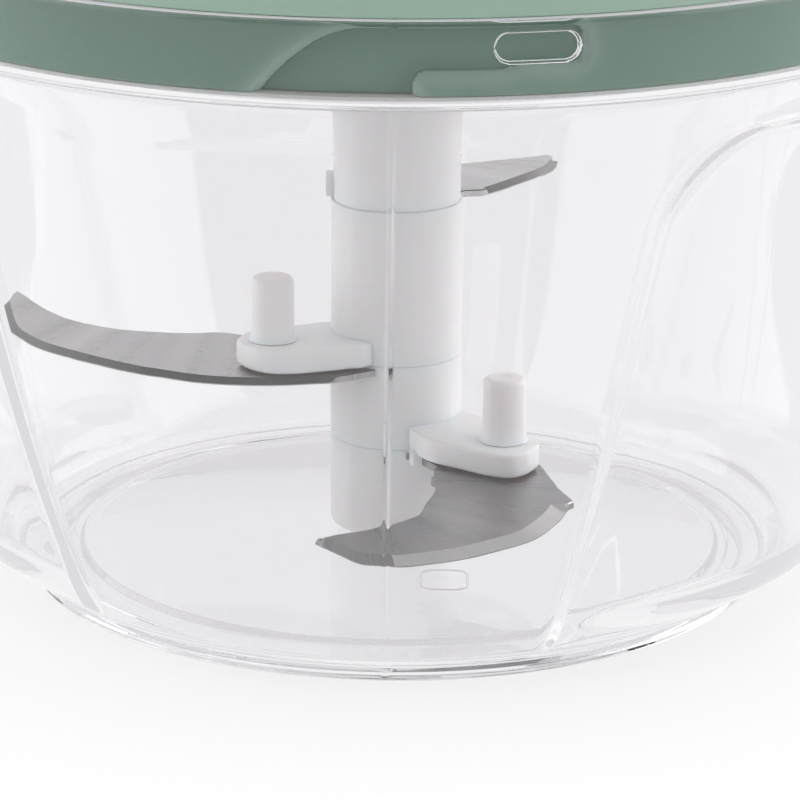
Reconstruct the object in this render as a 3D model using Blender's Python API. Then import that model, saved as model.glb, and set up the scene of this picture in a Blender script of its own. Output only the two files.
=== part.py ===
"""Pull cord food chopper: a clear bowl, a bayonet lid with a cord drum and a
return spring inside it, and a column of three blades that the drum turns.

The frame's origin is at the middle of the bowl's foot, +Z up. The column's axis
is the Z axis, and the handle pulls out along +Y. Lengths are in metres and
angles in degrees, counted from +X anticlockwise as seen from above.
"""

import math

import bmesh
import bpy
import numpy as np
from mathutils import Matrix

# Fits shared by the whole object
FIT_GAP = 0.0003
OVERRUN = 0.002
WELD_DEPTH = 0.0006

# Bowl: foot and floor
FOOT_RADIUS = 0.0484
FOOT_HEIGHT = 0.0018
FOOT_CHAMFER = 0.0006
FOOT_RING_WIDTH = 0.0034
FOOT_GROOVE = 0.0005
FLOOR_LIFT = 0.0016
FLOOR_THICKNESS = 0.0018
FLOOR_GUTTER_WIDTH = 0.0040
FLOOR_GUTTER_DEPTH = 0.0006

# Bowl: wall, ledge and collar
WALL = 0.0019
BODY_RISE = 0.0763
BODY_CURVE_SHARE = 0.55
COLLAR_RADIUS = 0.0702
COLLAR_OVERHANG = 0.0027
COLLAR_HEIGHT = 0.0099
COLLAR_WALL = 0.0020
COLLAR_FLARE_DROP = 0.0017
COLLAR_FLARE_RISE = 0.0007
RIM_ROUND = 0.0005

# Bowl: the two raised side pads that the hand holds. Each one's start and end
# azimuths at its foot, then at its top
PADS = ((-69.8, 54.0, -61.4, 48.0), (132.7, 224.5, 138.0, 218.0))
PAD_COLUMNS = 16
GAP_COLUMNS = 11
PAD_LOW_LIFT = 0.0016
PAD_TOP_DROP = 0.0060
PAD_CORNER = 0.0120
PAD_STEP = 0.0012
PAD_STEP_WIDTH = 0.0012
PAD_LOW_BULGE = 0.0055
PAD_TOP_BULGE = 0.0014
PAD_ROW_SHARES = (0.0, 0.06, 0.14, 0.25, 0.4, 0.58, 0.75)
PAD_CORNER_SHARES = (0.0, 0.5, 0.75, 0.9, 1.0)
PAD_BULGE_POWER = 3

# Bowl: bayonet lugs inside the collar
LUG_COUNT = 3
LUG_AZIMUTH = -76.9
LUG_HALF_ANGLE = 4.2
LUG_DEPTH = 0.0014
LUG_HEIGHT = 0.0036
LUG_DROP = 0.0016
LUG_END_ANGLES = (-78.0, -55.0, -28.0, 0.0)

# Pivot pin that the column stands over
PIN_RADIUS = 0.0020
PIN_HEIGHT = 0.0078
PIN_FLANGE_RADIUS = 0.0036
PIN_FLANGE_HEIGHT = 0.0008
PIN_POINT = 0.0008

# Column: the stacked sleeves, from the bottom up
COLUMN_RADIUS = 0.0086
COLUMN_TOP_RADIUS = 0.00825
COLUMN_FLOOR_GAP = 0.0013
COLUMN_ROUND = 0.0012
CORE_RADIUS = 0.0036
BUSH_WALL = 0.0013
BUSH_LENGTH = 0.0068
LOWER_SECTION_RISE = 0.01225
MIDDLE_SECTION_RISE = 0.01115
UPPER_SECTION_RISE = 0.0205

# Column: drive head in the lid's socket
DRIVE_HEAD_FLATS = 0.0090
DRIVE_HEAD_LENGTH = 0.0066

# Arms that hold the blades: share of the arm's reach, and angle from the arm
UPPER_ARM_AZIMUTH = 83.0
MIDDLE_ARM_AZIMUTH = 203.0
LOWER_ARM_AZIMUTH = 315.0
ARM_THICKNESS = 0.0032
ARM_ROUND = 0.0004
SHORT_ARM_REACH = 0.0217
SHORT_ARM_SHARES = (
    (0.32, -36.0), (0.42, -35.7), (0.613, -23.9), (0.876, -15.5), (0.945, -10.6),
    (0.995, -5.5), (1.0, -1.3), (0.986, 4.4), (0.954, 10.5), (0.899, 15.4),
    (0.820, 19.5), (0.742, 22.7), (0.618, 28.8), (0.521, 35.2), (0.445, 43.0),
    (0.32, 43.5),
)
LONG_ARM_REACH = 0.0249
LONG_ARM_SHARES = (
    (0.28, -33.5), (0.385, -33.0), (0.51, -29.6), (0.606, -25.4), (0.755, -18.2),
    (0.871, -14.6), (0.960, -11.2), (1.0, -8.1), (1.004, -4.6), (0.992, -1.0),
    (0.940, 6.5), (0.791, 13.5), (0.478, 26.9), (0.36, 36.8), (0.28, 38.0),
)
KEY_REACH = 0.0028
KEY_DROP = 0.0014
KEY_ANGLES = (-33.5, -24.0)
STOP_REACH = 0.0010
STOP_ANGLES = (89.0, 105.0)

# Posts staked through arm and blade
SHORT_POST_DISTANCE = 0.0173
LONG_POST_DISTANCE = 0.0196
POST_RADIUS = 0.00283
POST_TOP_RADIUS = 0.00273
POST_HEIGHT = 0.0082
POST_ROUND = 0.0009
STEM_RADIUS = 0.0016
STAKE_RADIUS = 0.0024
STAKE_TIP_SHARE = 0.6
STAKE_HEIGHT = 0.0008

# Blades: share of the blade's reach, and angle from its arm
BLADE_THICKNESS = 0.0009
EDGE_LAND = 0.00015
BEVEL_LIMIT_SHARE = 0.6
MIDDLE_BLADE_REACH = 0.0555
MIDDLE_LEADING_SHARES = (
    (0.12, 50.0), (0.160, 47.5), (0.246, 32.6), (0.298, 24.3), (0.359, 17.1),
    (0.436, 8.7), (0.502, 1.9), (0.558, -4.3), (0.617, -9.6), (0.682, -15.2),
    (0.753, -20.4), (0.833, -25.3), (0.882, -28.5), (0.921, -31.2), (0.959, -35.7),
    (0.992, -39.7), (0.998, -42.0),
)
MIDDLE_TRAILING_SHARES = (
    (0.12, -34.0), (0.27, -37.5), (0.345, -40.5), (0.435, -42.2), (0.507, -38.6),
    (0.600, -36.8), (0.696, -37.0), (0.783, -38.8), (0.857, -41.0), (0.913, -42.6),
    (0.963, -44.0), (0.999, -44.4),
)
MIDDLE_GROUND_SHARE = 0.11
MIDDLE_BEVEL_WIDTH = 0.0022
MIDDLE_TIP_LIFT = 0.0018
MIDDLE_TIP_START_SHARE = 0.82
LOWER_BLADE_RUN_GAP = 0.0042
LOWER_LEADING_SHARES = (
    (0.14, 35.0), (0.211, 30.0), (0.311, 23.0), (0.392, 15.0), (0.451, 10.5),
    (0.538, 2.4), (0.624, -3.0), (0.708, -6.0), (0.718, -8.0), (0.781, -14.0),
    (0.867, -22.0), (0.914, -29.0), (0.956, -35.0), (0.982, -40.0), (1.0, -44.0),
    (0.992, -47.0), (0.982, -50.0), (0.916, -54.0), (0.860, -58.0),
)
LOWER_TRAILING_SHARES = (
    (0.14, -36.0), (0.221, -28.0), (0.309, -24.5), (0.318, -26.7), (0.363, -29.2),
    (0.394, -31.7), (0.416, -30.9), (0.474, -32.6), (0.524, -34.7), (0.586, -37.5),
    (0.669, -40.0), (0.721, -44.0), (0.751, -47.0), (0.785, -50.0), (0.833, -55.0),
    (0.868, -57.0),
)
LOWER_GROUND_SHARE = 0.44
LOWER_BEVEL_WIDTH = 0.0034
UPPER_BLADE_REACH = 0.0313
UPPER_LEADING_SHARES = (
    (0.24, -60.0), (0.325, -55.0), (0.402, -57.5), (0.531, -51.7),
    (0.672, -46.7), (0.805, -43.5), (0.888, -41.2), (0.952, -39.0), (0.987, -37.3),
)
UPPER_TRAILING_SHARES = (
    (0.22, 50.0), (0.298, 44.0), (0.51, 28.0), (0.66, 12.0), (0.687, 0.0),
    (0.665, -9.0), (0.663, -16.5), (0.813, -25.9), (0.907, -30.0), (1.0, -32.7),
    (0.998, -35.0),
)
UPPER_GROUND_SHARE = 0.23
UPPER_BEVEL_WIDTH = 0.0010

# Lid: skirt with its bayonet grooves, and deck
SKIRT_RUN_GAP = 0.0005
SKIRT_WALL = 0.0028
SKIRT_LIFT = 0.0011
GROOVE_DEPTH = 0.0017
GROOVE_CEILING = 0.00015
GROOVE_MOUTH_ANGLES = (-13.4, 1.4, 2.0)
GROOVE_RAMP_ANGLE = 10.2
GROOVE_LANE_ANGLE = 19.2
GROOVE_LANE_FALL = 0.00095
GROOVE_LOCK_ANGLES = (10.2, 11.6)
DECK_THICKNESS = 0.0022
DECK_HOLE_RADIUS = 0.0110

# Lid: seal and under plate
SEAL_WIDTH = 0.0020
SEAL_HEIGHT = 0.0054
SEAL_LIP_EDGE = 0.0003
UNDER_PLATE_THICKNESS = 0.0018
UNDER_PLATE_LIFT = 0.0027
UNDER_PLATE_RIM = 0.0023
UNDER_PLATE_TUBE_WALL = 0.0020

# Lid: cover
COVER_INSET = 0.0002
COVER_WALL = 0.0020
COVER_SIDE_HEIGHT = 0.0120
COVER_HEIGHT = 0.0239
COVER_DOME_SHARES = ((1.0, 0.0), (0.985, 0.26), (0.940, 0.52), (0.86, 0.72), (0.72, 0.86),
                     (0.45, 0.965), (0.0, 1.0))
COVER_BOSS_SHARE = 0.80
COVER_SCREW_INSET = 0.0140
COVER_SCREW_AZIMUTHS = (15.0, 165.0, 240.0, 300.0)
BOSS_RADIUS = 0.0032
SCREW_RADIUS = 0.0012
SCREW_HEAD_RADIUS = 0.0024
SCREW_HEAD_HEIGHT = 0.0014
SCREW_LENGTH = 0.0090
SCREW_HEAD_TOP_SHARE = 0.8
SCREW_SLOT_WIDTH = 0.0006
SCREW_SLOT_DEPTH = 0.0005

# Lid: pocket for the handle
POCKET_AZIMUTH = 90.0
POCKET_HALF_ANGLE = 37.0
POCKET_WALL = 0.0024
POCKET_FLOOR = 0.0016
POCKET_HEIGHT = 0.0120

# Drive socket and its bushing
SOCKET_RADIUS = 0.0085
SOCKET_LENGTH = 0.0102
SOCKET_FLATS_GAP = 0.0002
SOCKET_ROOF = 0.0022
SOCKET_FLANGE_RADIUS = 0.0125
SOCKET_FLANGE_HEIGHT = 0.0012
BUSHING_FLANGE_RADIUS = 0.0130
BUSHING_FLANGE_HEIGHT = 0.0008

# Cord drum
DRUM_CORE_RADIUS = 0.0110
DRUM_FLANGE_RADIUS = 0.0180
DRUM_FLANGE_THICKNESS = 0.0012
DRUM_GROOVE_WIDTH = 0.0067
ARBOR_RADIUS = 0.0050
ARBOR_HEIGHT = 0.0050
SPINDLE_RADIUS = 0.0025
SPINDLE_BOSS_WALL = 0.0025
DRIVE_SCREW_DISTANCE = 0.0076
DRIVE_SCREW_AZIMUTHS = (41.0, 221.0)
DRIVE_SCREW_RADIUS = 0.0009
DRIVE_SCREW_HEAD_RADIUS = 0.0018

# Cord
CORD_RADIUS = 0.0011
CORD_LAYERS = 2
CORD_BEND_LENGTH = 0.0040
CORD_STEP = 0.0040
KNOT_RADIUS = 0.0024

# Return spring and its cup
SPRING_TURNS = 5
SPRING_STRIP_THICKNESS = 0.0004
SPRING_HEIGHT = 0.0032
SPRING_STEPS_PER_TURN = 18
CUP_RADIUS = 0.0210
CUP_WALL = 0.0014
CUP_FLOOR = 0.0012
CUP_EAR_REACH = 0.0028
CUP_EAR_RADIUS = 0.0034
CUP_EAR_THICKNESS = 0.0018
CUP_EAR_RISE = 0.0002
CUP_EAR_AZIMUTHS = (30.0, 150.0, 270.0)
CUP_RUN_GAP = 0.0005
CUP_SCREW_LENGTH = 0.0034

# Cord eyelet and handle
EYELET_BORE_RADIUS = 0.0015
EYELET_RADIUS = 0.0027
EYELET_FLANGE_RADIUS = 0.0042
EYELET_FLANGE_HEIGHT = 0.0010
HANDLE_HALF_ANGLE = 33.0
HANDLE_INSET = 0.0004
HANDLE_DEPTH = 0.0150
HANDLE_HEIGHT = 0.0110
HANDLE_ROUND_RADIUS = 0.0022
HANDLE_END_POWER = 8
HANDLE_BORE_RADIUS = 0.0015
PLUG_RADIUS = 0.0030
PLUG_HEIGHT = 0.0016
PLUG_RECESS = 0.0005

# Facet counts
RING_SEGMENTS = 60
BORE_SEGMENTS = 20
POST_SEGMENTS = 16
SCREW_SEGMENTS = 8
ARC_STEP = 4.0
RAMP_STEPS = 8
KEY_STEPS = 4
KNOT_STEPS = 7
EDGE_ROUND_SHARE = 0.3

# Heights that the stacked sizes add up to
FLOOR_TOP = FLOOR_LIFT + FLOOR_THICKNESS
LEDGE_Z = BODY_RISE
RIM_Z = LEDGE_Z + COLLAR_HEIGHT
COLUMN_BOTTOM = FLOOR_TOP + COLUMN_FLOOR_GAP
LOWER_HUB_Z = COLUMN_BOTTOM + LOWER_SECTION_RISE
MIDDLE_HUB_Z = LOWER_HUB_Z + MIDDLE_SECTION_RISE
UPPER_HUB_Z = MIDDLE_HUB_Z + UPPER_SECTION_RISE
SKIRT_LOW_Z = LEDGE_Z + SKIRT_LIFT
COVER_LOW_Z = RIM_Z + FIT_GAP
DECK_LOW_Z = COVER_LOW_Z
DECK_TOP_Z = DECK_LOW_Z + DECK_THICKNESS
UNDER_PLATE_Z = LEDGE_Z + UNDER_PLATE_LIFT
BUSHING_TOP_Z = DECK_TOP_Z + FIT_GAP + BUSHING_FLANGE_HEIGHT
SOCKET_FLANGE_Z = BUSHING_TOP_Z + FIT_GAP
SOCKET_LOW_Z = SOCKET_FLANGE_Z - SOCKET_LENGTH
COLUMN_TOP = SOCKET_LOW_Z - FIT_GAP
DRUM_LOW_Z = SOCKET_FLANGE_Z + SOCKET_FLANGE_HEIGHT + FIT_GAP
GROOVE_LOW_Z = DRUM_LOW_Z + DRUM_FLANGE_THICKNESS
GROOVE_TOP_Z = GROOVE_LOW_Z + DRUM_GROOVE_WIDTH
DRUM_CAP_Z = GROOVE_TOP_Z
DRUM_CAP_TOP_Z = DRUM_CAP_Z + DRUM_FLANGE_THICKNESS
ARBOR_TOP_Z = DRUM_CAP_TOP_Z + ARBOR_HEIGHT
CUP_LOW_Z = DRUM_CAP_TOP_Z + CUP_RUN_GAP
CUP_FLOOR_TOP_Z = CUP_LOW_Z + CUP_FLOOR
CUP_TOP_Z = CUP_FLOOR_TOP_Z + FIT_GAP + SPRING_HEIGHT + FIT_GAP
EAR_TOP_Z = CUP_TOP_Z + CUP_EAR_RISE
EAR_LOW_Z = EAR_TOP_Z - CUP_EAR_THICKNESS
CORD_Z = (GROOVE_LOW_Z + GROOVE_TOP_Z) / 2
COVER_TOP_Z = COVER_LOW_Z + COVER_HEIGHT
POCKET_LOW_Z = DECK_TOP_Z + FIT_GAP + POCKET_FLOOR
HANDLE_LOW_Z = POCKET_LOW_Z + FIT_GAP

# Radii that line up across pieces
FOOT_INNER_RADIUS = FOOT_RADIUS - FOOT_RING_WIDTH
BODY_BASE_RADIUS = FOOT_RADIUS - FOOT_GROOVE / 2
COLLAR_INNER_RADIUS = COLLAR_RADIUS - COLLAR_WALL
BODY_TOP_RADIUS = COLLAR_RADIUS - COLLAR_OVERHANG
SKIRT_RADIUS = COLLAR_INNER_RADIUS - SKIRT_RUN_GAP
COVER_RADIUS = COLLAR_RADIUS - COVER_INSET
COVER_SCREW_DISTANCE = COVER_RADIUS - COVER_SCREW_INSET
BODY_INNER_TOP_RADIUS = BODY_TOP_RADIUS - WALL
SLEEVE_BORE_RADIUS = CORE_RADIUS + FIT_GAP
BLADE_CLEAR_RADIUS = COLUMN_RADIUS + FIT_GAP
HOLE_RADIUS = STEM_RADIUS + FIT_GAP
SEAL_RADIUS = SKIRT_RADIUS - SKIRT_WALL - FIT_GAP
UNDER_PLATE_RADIUS = SEAL_RADIUS - SEAL_WIDTH - FIT_GAP
UNDER_PLATE_HOLE = SOCKET_RADIUS + FIT_GAP
WINDING_LOW_RADIUS = DRUM_CORE_RADIUS + FIT_GAP
WINDING_RADIUS = WINDING_LOW_RADIUS + CORD_LAYERS * 2 * CORD_RADIUS
LEAD_RADIUS = WINDING_RADIUS + FIT_GAP + CORD_RADIUS
SPINDLE_BOSS_RADIUS = SPINDLE_RADIUS + SPINDLE_BOSS_WALL
CUP_EAR_DISTANCE = CUP_RADIUS + CUP_EAR_REACH
HANDLE_RADIUS = COVER_RADIUS - HANDLE_INSET
HANDLE_IN_RADIUS = HANDLE_RADIUS - HANDLE_DEPTH
PLUG_OUT_Y = HANDLE_RADIUS - PLUG_RECESS
KNOT_Y = PLUG_OUT_Y - PLUG_HEIGHT - FIT_GAP - 2 * KNOT_RADIUS
EYELET_OUT_Y = HANDLE_IN_RADIUS - FIT_GAP
POCKET_RADIUS = EYELET_OUT_Y - EYELET_FLANGE_HEIGHT - FIT_GAP
EYELET_IN_Y = POCKET_RADIUS - POCKET_WALL - FIT_GAP


# Materials

def make_material(name, colour, roughness, metallic=0.0, alpha=1.0):
    """A Principled material with one plain finish."""
    material = bpy.data.materials.new(name)
    material.use_nodes = True
    shader = material.node_tree.nodes["Principled BSDF"]
    shader.inputs["Base Color"].default_value = (*colour, 1.0)
    shader.inputs["Roughness"].default_value = roughness
    shader.inputs["Metallic"].default_value = metallic
    shader.inputs["Alpha"].default_value = alpha
    material.diffuse_color = (*colour, alpha)
    return material


FINISHES = {
    "clear": ((0.93, 0.94, 0.95), 0.06, 0.0, 0.3),
    "green": ((0.25, 0.37, 0.30), 0.42, 0.0, 1.0),
    "white": ((0.83, 0.83, 0.83), 0.38, 0.0, 1.0),
    "silicone": ((0.86, 0.86, 0.85), 0.6, 0.0, 1.0),
    "steel": ((0.55, 0.54, 0.53), 0.3, 1.0, 1.0),
    "brass": ((0.72, 0.56, 0.30), 0.3, 1.0, 1.0),
    "cord": ((0.80, 0.80, 0.78), 0.85, 0.0, 1.0),
}


# Building blocks

def polar(radius, azimuth, height=0.0):
    """The point at a radius, an azimuth and a height."""
    angle = math.radians(azimuth)
    return (radius * math.cos(angle), radius * math.sin(angle), height)


def finish_object(name, mesh, finish, parent, sharp=30.0):
    """Make the mesh an object of its own, with its own material, on its parent."""
    made = bpy.data.objects.new(name, mesh)
    bpy.context.scene.collection.objects.link(made)
    if finish is None:
        made.hide_render = True
        made.display_type = "WIRE"
    else:
        made.data.materials.append(make_material(name + "_finish", *FINISHES[finish]))
    made.data.shade_smooth()
    made.data.set_sharp_from_angle(angle=math.radians(sharp))
    if parent is not None:
        made.parent = parent
        made.matrix_parent_inverse = parent.matrix_world.inverted()
    return made


def mesh_from_bmesh(name, shape):
    """Turn a bmesh into a mesh whose faces point out."""
    bmesh.ops.recalc_face_normals(shape, faces=shape.faces)
    mesh = bpy.data.meshes.new(name)
    shape.to_mesh(mesh)
    shape.free()
    return mesh


def turned(name, profile, finish, parent, segments=RING_SEGMENTS):
    """Spin a profile of (radius, height) points about the Z axis.

    A profile that starts and ends on the axis makes a solid, and any other one
    is closed into a ring.
    """
    shape = bmesh.new()
    points = [shape.verts.new((radius, 0.0, height)) for radius, height in profile]
    edges = [shape.edges.new(pair) for pair in zip(points[:-1], points[1:])]
    if profile[0][0] > 0 or profile[-1][0] > 0:
        edges.append(shape.edges.new((points[-1], points[0])))
    bmesh.ops.spin(shape, geom=points + edges, cent=(0, 0, 0), axis=(0, 0, 1),
                   angle=math.tau, steps=segments, use_merge=True)
    bmesh.ops.remove_doubles(shape, verts=shape.verts, dist=FIT_GAP / segments)
    return finish_object(name, mesh_from_bmesh(name, shape), finish, parent)


def skinned(name, rings, finish, parent, ends="capped", sharp=30.0):
    """Skin an array of rings (ring, point, xyz) into one closed body.

    Each ring is a closed loop of points. The first and last rings are capped,
    or joined to each other when the ends are "joined".
    """
    rings = np.asarray(rings, dtype=float)
    ring_count, point_count = rings.shape[:2]
    shape = bmesh.new()
    grid = [[shape.verts.new(point) for point in ring] for ring in rings]
    last = ring_count if ends == "joined" else ring_count - 1
    for row in range(last):
        below, above = grid[row], grid[(row + 1) % ring_count]
        for column in range(point_count):
            beside = (column + 1) % point_count
            shape.faces.new((below[column], below[beside], above[beside], above[column]))
    if ends == "capped":
        shape.faces.new(grid[0])
        shape.faces.new(grid[-1])
    return finish_object(name, mesh_from_bmesh(name, shape), finish, parent, sharp)


def band(name, angles, low, high, inner, outer, finish, parent):
    """A curved block: at each angle a rectangle from low to high, inner to outer."""
    rings = []
    for angle, bottom, top in zip(angles, low, high):
        rings.append([polar(inner, angle, bottom), polar(outer, angle, bottom),
                      polar(outer, angle, top), polar(inner, angle, top)])
    return skinned(name, rings, finish, parent)


def plate(name, outline, low, high, finish, parent):
    """Extrude an outline of (x, y) points from one height to another."""
    shape = bmesh.new()
    base = shape.faces.new([shape.verts.new((x, y, low)) for x, y in outline])
    lifted = bmesh.ops.extrude_face_region(shape, geom=[base])["geom"]
    raised = [item for item in lifted if isinstance(item, bmesh.types.BMVert)]
    bmesh.ops.translate(shape, verts=raised, vec=(0, 0, high - low))
    return finish_object(name, mesh_from_bmesh(name, shape), finish, parent)


def rod(name, radius, low, high, finish, parent, centre=(0.0, 0.0), segments=BORE_SEGMENTS):
    """A plain round rod along Z."""
    turns = np.linspace(0.0, math.tau, segments, endpoint=False)
    outline = [(centre[0] + radius * math.cos(t), centre[1] + radius * math.sin(t)) for t in turns]
    return plate(name, outline, low, high, finish, parent)


def combine(target, other, operation):
    """Add a Boolean with the exact solver."""
    modifier = target.modifiers.new(other.name, "BOOLEAN")
    modifier.operation = operation
    modifier.solver = "EXACT"
    modifier.object = other


def cut(target, cutter):
    """Take a cutter away from the target."""
    combine(target, cutter, "DIFFERENCE")


def weld(target, added):
    """Join an added shape to the target."""
    combine(target, added, "UNION")


def lay_along_y(target, radial_height):
    """Turn a piece built along Z so that it lies along +Y at the given height."""
    quarter = Matrix.Rotation(-math.pi / 2, 4, "X")
    target.data.transform(Matrix.Translation((0.0, 0.0, radial_height)) @ quarter)


def hexagon(flats):
    """The corners of a hexagon, from its size across flats."""
    corner = flats / math.sqrt(3)
    return [polar(corner, 60.0 * k)[:2] for k in range(6)]


def make_axis(name, place):
    """An empty that stands on a joint's axis and carries a moving body's pieces."""
    axis = bpy.data.objects.new(name, None)
    axis.location = place
    axis.empty_display_size = COLUMN_RADIUS
    bpy.context.scene.collection.objects.link(axis)
    bpy.context.view_layer.update()
    return axis


def smooth_path(points, steps):
    """Points along a smooth curve through the given ones, an even share per span."""
    points = np.asarray(points, dtype=float)
    padded = np.vstack([2 * points[0] - points[1], points, 2 * points[-1] - points[-2]])
    places = np.linspace(0.0, len(points) - 1.0, steps)
    span = np.minimum(places.astype(int), len(points) - 2)
    t = (places - span)[:, None]
    before, start, end, after = (padded[span + k] for k in range(4))
    return 0.5 * (2 * start + (end - before) * t
                  + (2 * before - 5 * start + 4 * end - after) * t ** 2
                  + (3 * start - before - 3 * end + after) * t ** 3)


# Bowl

def body_radius(height):
    """Outer radius of the bowl's wall, which opens fast near the floor."""
    share = np.clip((height - FOOT_HEIGHT) / (LEDGE_Z - FOOT_HEIGHT), 0.0, 1.0)
    return BODY_BASE_RADIUS + (BODY_TOP_RADIUS - BODY_BASE_RADIUS) * share ** BODY_CURVE_SHARE


def pad_share(height):
    """How far up the pads a height lies, from 0 at their foot to 1 at their top."""
    low, high = FOOT_HEIGHT + PAD_LOW_LIFT, LEDGE_Z - PAD_TOP_DROP
    return float(np.clip((height - low) / (high - low), 0.0, 1.0))


def pad_borders(height):
    """The start and end azimuths of each pad at a height, with round top corners."""
    share = pad_share(height)
    over = np.clip(height - (LEDGE_Z - PAD_TOP_DROP - PAD_CORNER), 0.0, PAD_CORNER)
    inset = PAD_CORNER - np.sqrt(PAD_CORNER ** 2 - over ** 2)
    turn = math.degrees(inset / body_radius(height))
    borders = []
    for low_start, low_end, top_start, top_end in PADS:
        start = low_start + (top_start - low_start) * share + turn
        end = low_end + (top_end - low_end) * share - turn
        borders.append((start, end))
    return borders


def pad_offset(inside, height):
    """How far a pad stands out, from how far inside its border a point lies (0 to 1)."""
    bulge = PAD_LOW_BULGE + (PAD_TOP_BULGE - PAD_LOW_BULGE) * pad_share(height)
    return PAD_STEP + (bulge - PAD_STEP) * (1.0 - (1.0 - inside) ** PAD_BULGE_POWER)


def bowl_angles(height):
    """Azimuths of one row of the bowl, with two columns on each pad's border step."""
    borders = pad_borders(height)
    step = math.degrees(PAD_STEP_WIDTH / body_radius(height))
    following = [borders[1][0], borders[0][0] + 360.0]
    azimuths, inside = [], []
    for (start, end), next_start in zip(borders, following):
        for share in np.linspace(0.0, 1.0, PAD_COLUMNS):
            azimuths.append(start + step + share * (end - start - 2 * step))
            inside.append(1.0 - abs(2 * share - 1.0))
        for share in np.linspace(0.0, 1.0, GAP_COLUMNS):
            azimuths.append(end + share * (next_start - end))
            inside.append(-1.0)
    return np.array(azimuths), np.array(inside)


def bowl_row(radius, height, on_wall, padded):
    """One ring of the bowl's skin, pushed out where it runs over a pad."""
    azimuths, inside = bowl_angles(on_wall)
    push = np.where(inside >= 0.0, pad_offset(np.clip(inside, 0, 1), on_wall), 0.0) * padded
    reach = radius + push
    angles = np.radians(azimuths)
    return np.stack([reach * np.cos(angles), reach * np.sin(angles),
                     np.full_like(angles, height)], axis=-1)


def make_bowl():
    """The clear bowl: foot ring, floor, curved wall with two side pads, ledge and collar."""
    pad_low, pad_high = FOOT_HEIGHT + PAD_LOW_LIFT, LEDGE_Z - PAD_TOP_DROP
    rows = [(FOOT_INNER_RADIUS, FLOOR_LIFT, FOOT_HEIGHT, 0.0),
            (FOOT_INNER_RADIUS, 0.0, FOOT_HEIGHT, 0.0),
            (FOOT_RADIUS - FOOT_CHAMFER, 0.0, FOOT_HEIGHT, 0.0),
            (FOOT_RADIUS, FOOT_CHAMFER, FOOT_HEIGHT, 0.0),
            (FOOT_RADIUS, FOOT_HEIGHT - FOOT_GROOVE, FOOT_HEIGHT, 0.0),
            (FOOT_RADIUS - FOOT_GROOVE, FOOT_HEIGHT, FOOT_HEIGHT, 0.0)]
    outer = [FOOT_HEIGHT + PAD_LOW_LIFT / 2, pad_low]
    outer += list(pad_low + (pad_high - pad_low) * np.array(PAD_ROW_SHARES))
    corner = pad_high - PAD_CORNER
    outer += list(corner + PAD_CORNER * np.array(PAD_CORNER_SHARES))
    outer += [pad_high, LEDGE_Z - COLLAR_FLARE_DROP]
    flags = [0.0, 0.0] + [1.0] * (len(outer) - 4) + [0.0, 0.0]
    step = PAD_STEP_WIDTH
    lifts = [0.0, 0.0, step / 2] + [0.0] * (len(outer) - 6) + [-step / 2, step / 2, 0.0]
    rows += [(float(body_radius(h)), h + lift, h, flag) for h, lift, flag in zip(outer, lifts, flags)]
    rows += [(COLLAR_RADIUS, LEDGE_Z + COLLAR_FLARE_RISE, pad_high, 0.0),
             (COLLAR_RADIUS, RIM_Z - RIM_ROUND, pad_high, 0.0),
             (COLLAR_RADIUS - RIM_ROUND, RIM_Z, pad_high, 0.0),
             (COLLAR_INNER_RADIUS + RIM_ROUND, RIM_Z, pad_high, 0.0),
             (COLLAR_INNER_RADIUS, RIM_Z - RIM_ROUND, pad_high, 0.0),
             (COLLAR_INNER_RADIUS, LEDGE_Z, pad_high, 0.0),
             (BODY_INNER_TOP_RADIUS, LEDGE_Z, pad_high, 0.0)]
    inner = [h for h in outer[3:] if h > FLOOR_TOP + WALL][::-1]
    inner_flags = [flag for h, flag in zip(outer[3:], flags[3:]) if h > FLOOR_TOP + WALL][::-1]
    inner_lifts = [lift for h, lift in zip(outer[3:], lifts[3:]) if h > FLOOR_TOP + WALL][::-1]
    rows += [(float(body_radius(h)) - WALL, h + lift, h, flag)
             for h, lift, flag in zip(inner, inner_lifts, inner_flags)]
    wall_foot = float(body_radius(FLOOR_TOP + WALL)) - WALL
    gutter = FOOT_INNER_RADIUS - FLOOR_GUTTER_WIDTH
    rows += [(wall_foot, FLOOR_TOP + WALL, FLOOR_TOP + WALL, 1.0),
             (wall_foot - WALL, FLOOR_TOP - FLOOR_GUTTER_DEPTH, FLOOR_TOP + WALL, 0.0),
             (gutter + FLOOR_GUTTER_DEPTH, FLOOR_TOP - FLOOR_GUTTER_DEPTH, FOOT_HEIGHT, 0.0),
             (gutter, FLOOR_TOP, FOOT_HEIGHT, 0.0)]
    rings = [bowl_row(*row) for row in rows]
    bowl = skinned("bowl", rings, "clear", None)
    for k in range(LUG_COUNT):
        weld(bowl, make_lug(k))
    return bowl


def make_lug(k):
    """One bayonet lug: a bar with round ends on the collar's inner wall."""
    centre = LUG_AZIMUTH + 360.0 / LUG_COUNT * k
    top = RIM_Z - LUG_DROP
    end = math.degrees(LUG_HEIGHT / 2 / COLLAR_INNER_RADIUS)
    straight = LUG_HALF_ANGLE - end
    turn = np.radians(LUG_END_ANGLES + tuple(-angle for angle in LUG_END_ANGLES[::-1]))
    sides = np.repeat([-1.0, 1.0], len(LUG_END_ANGLES))
    angles = centre + sides * straight + end * np.sin(turn)
    half = LUG_HEIGHT / 2 * np.cos(turn)
    middle = top - LUG_HEIGHT / 2
    return band(f"lug_form_{k + 1}", angles, middle - half, middle + half,
                COLLAR_INNER_RADIUS - LUG_DEPTH, COLLAR_INNER_RADIUS + WELD_DEPTH, None, None)


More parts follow.
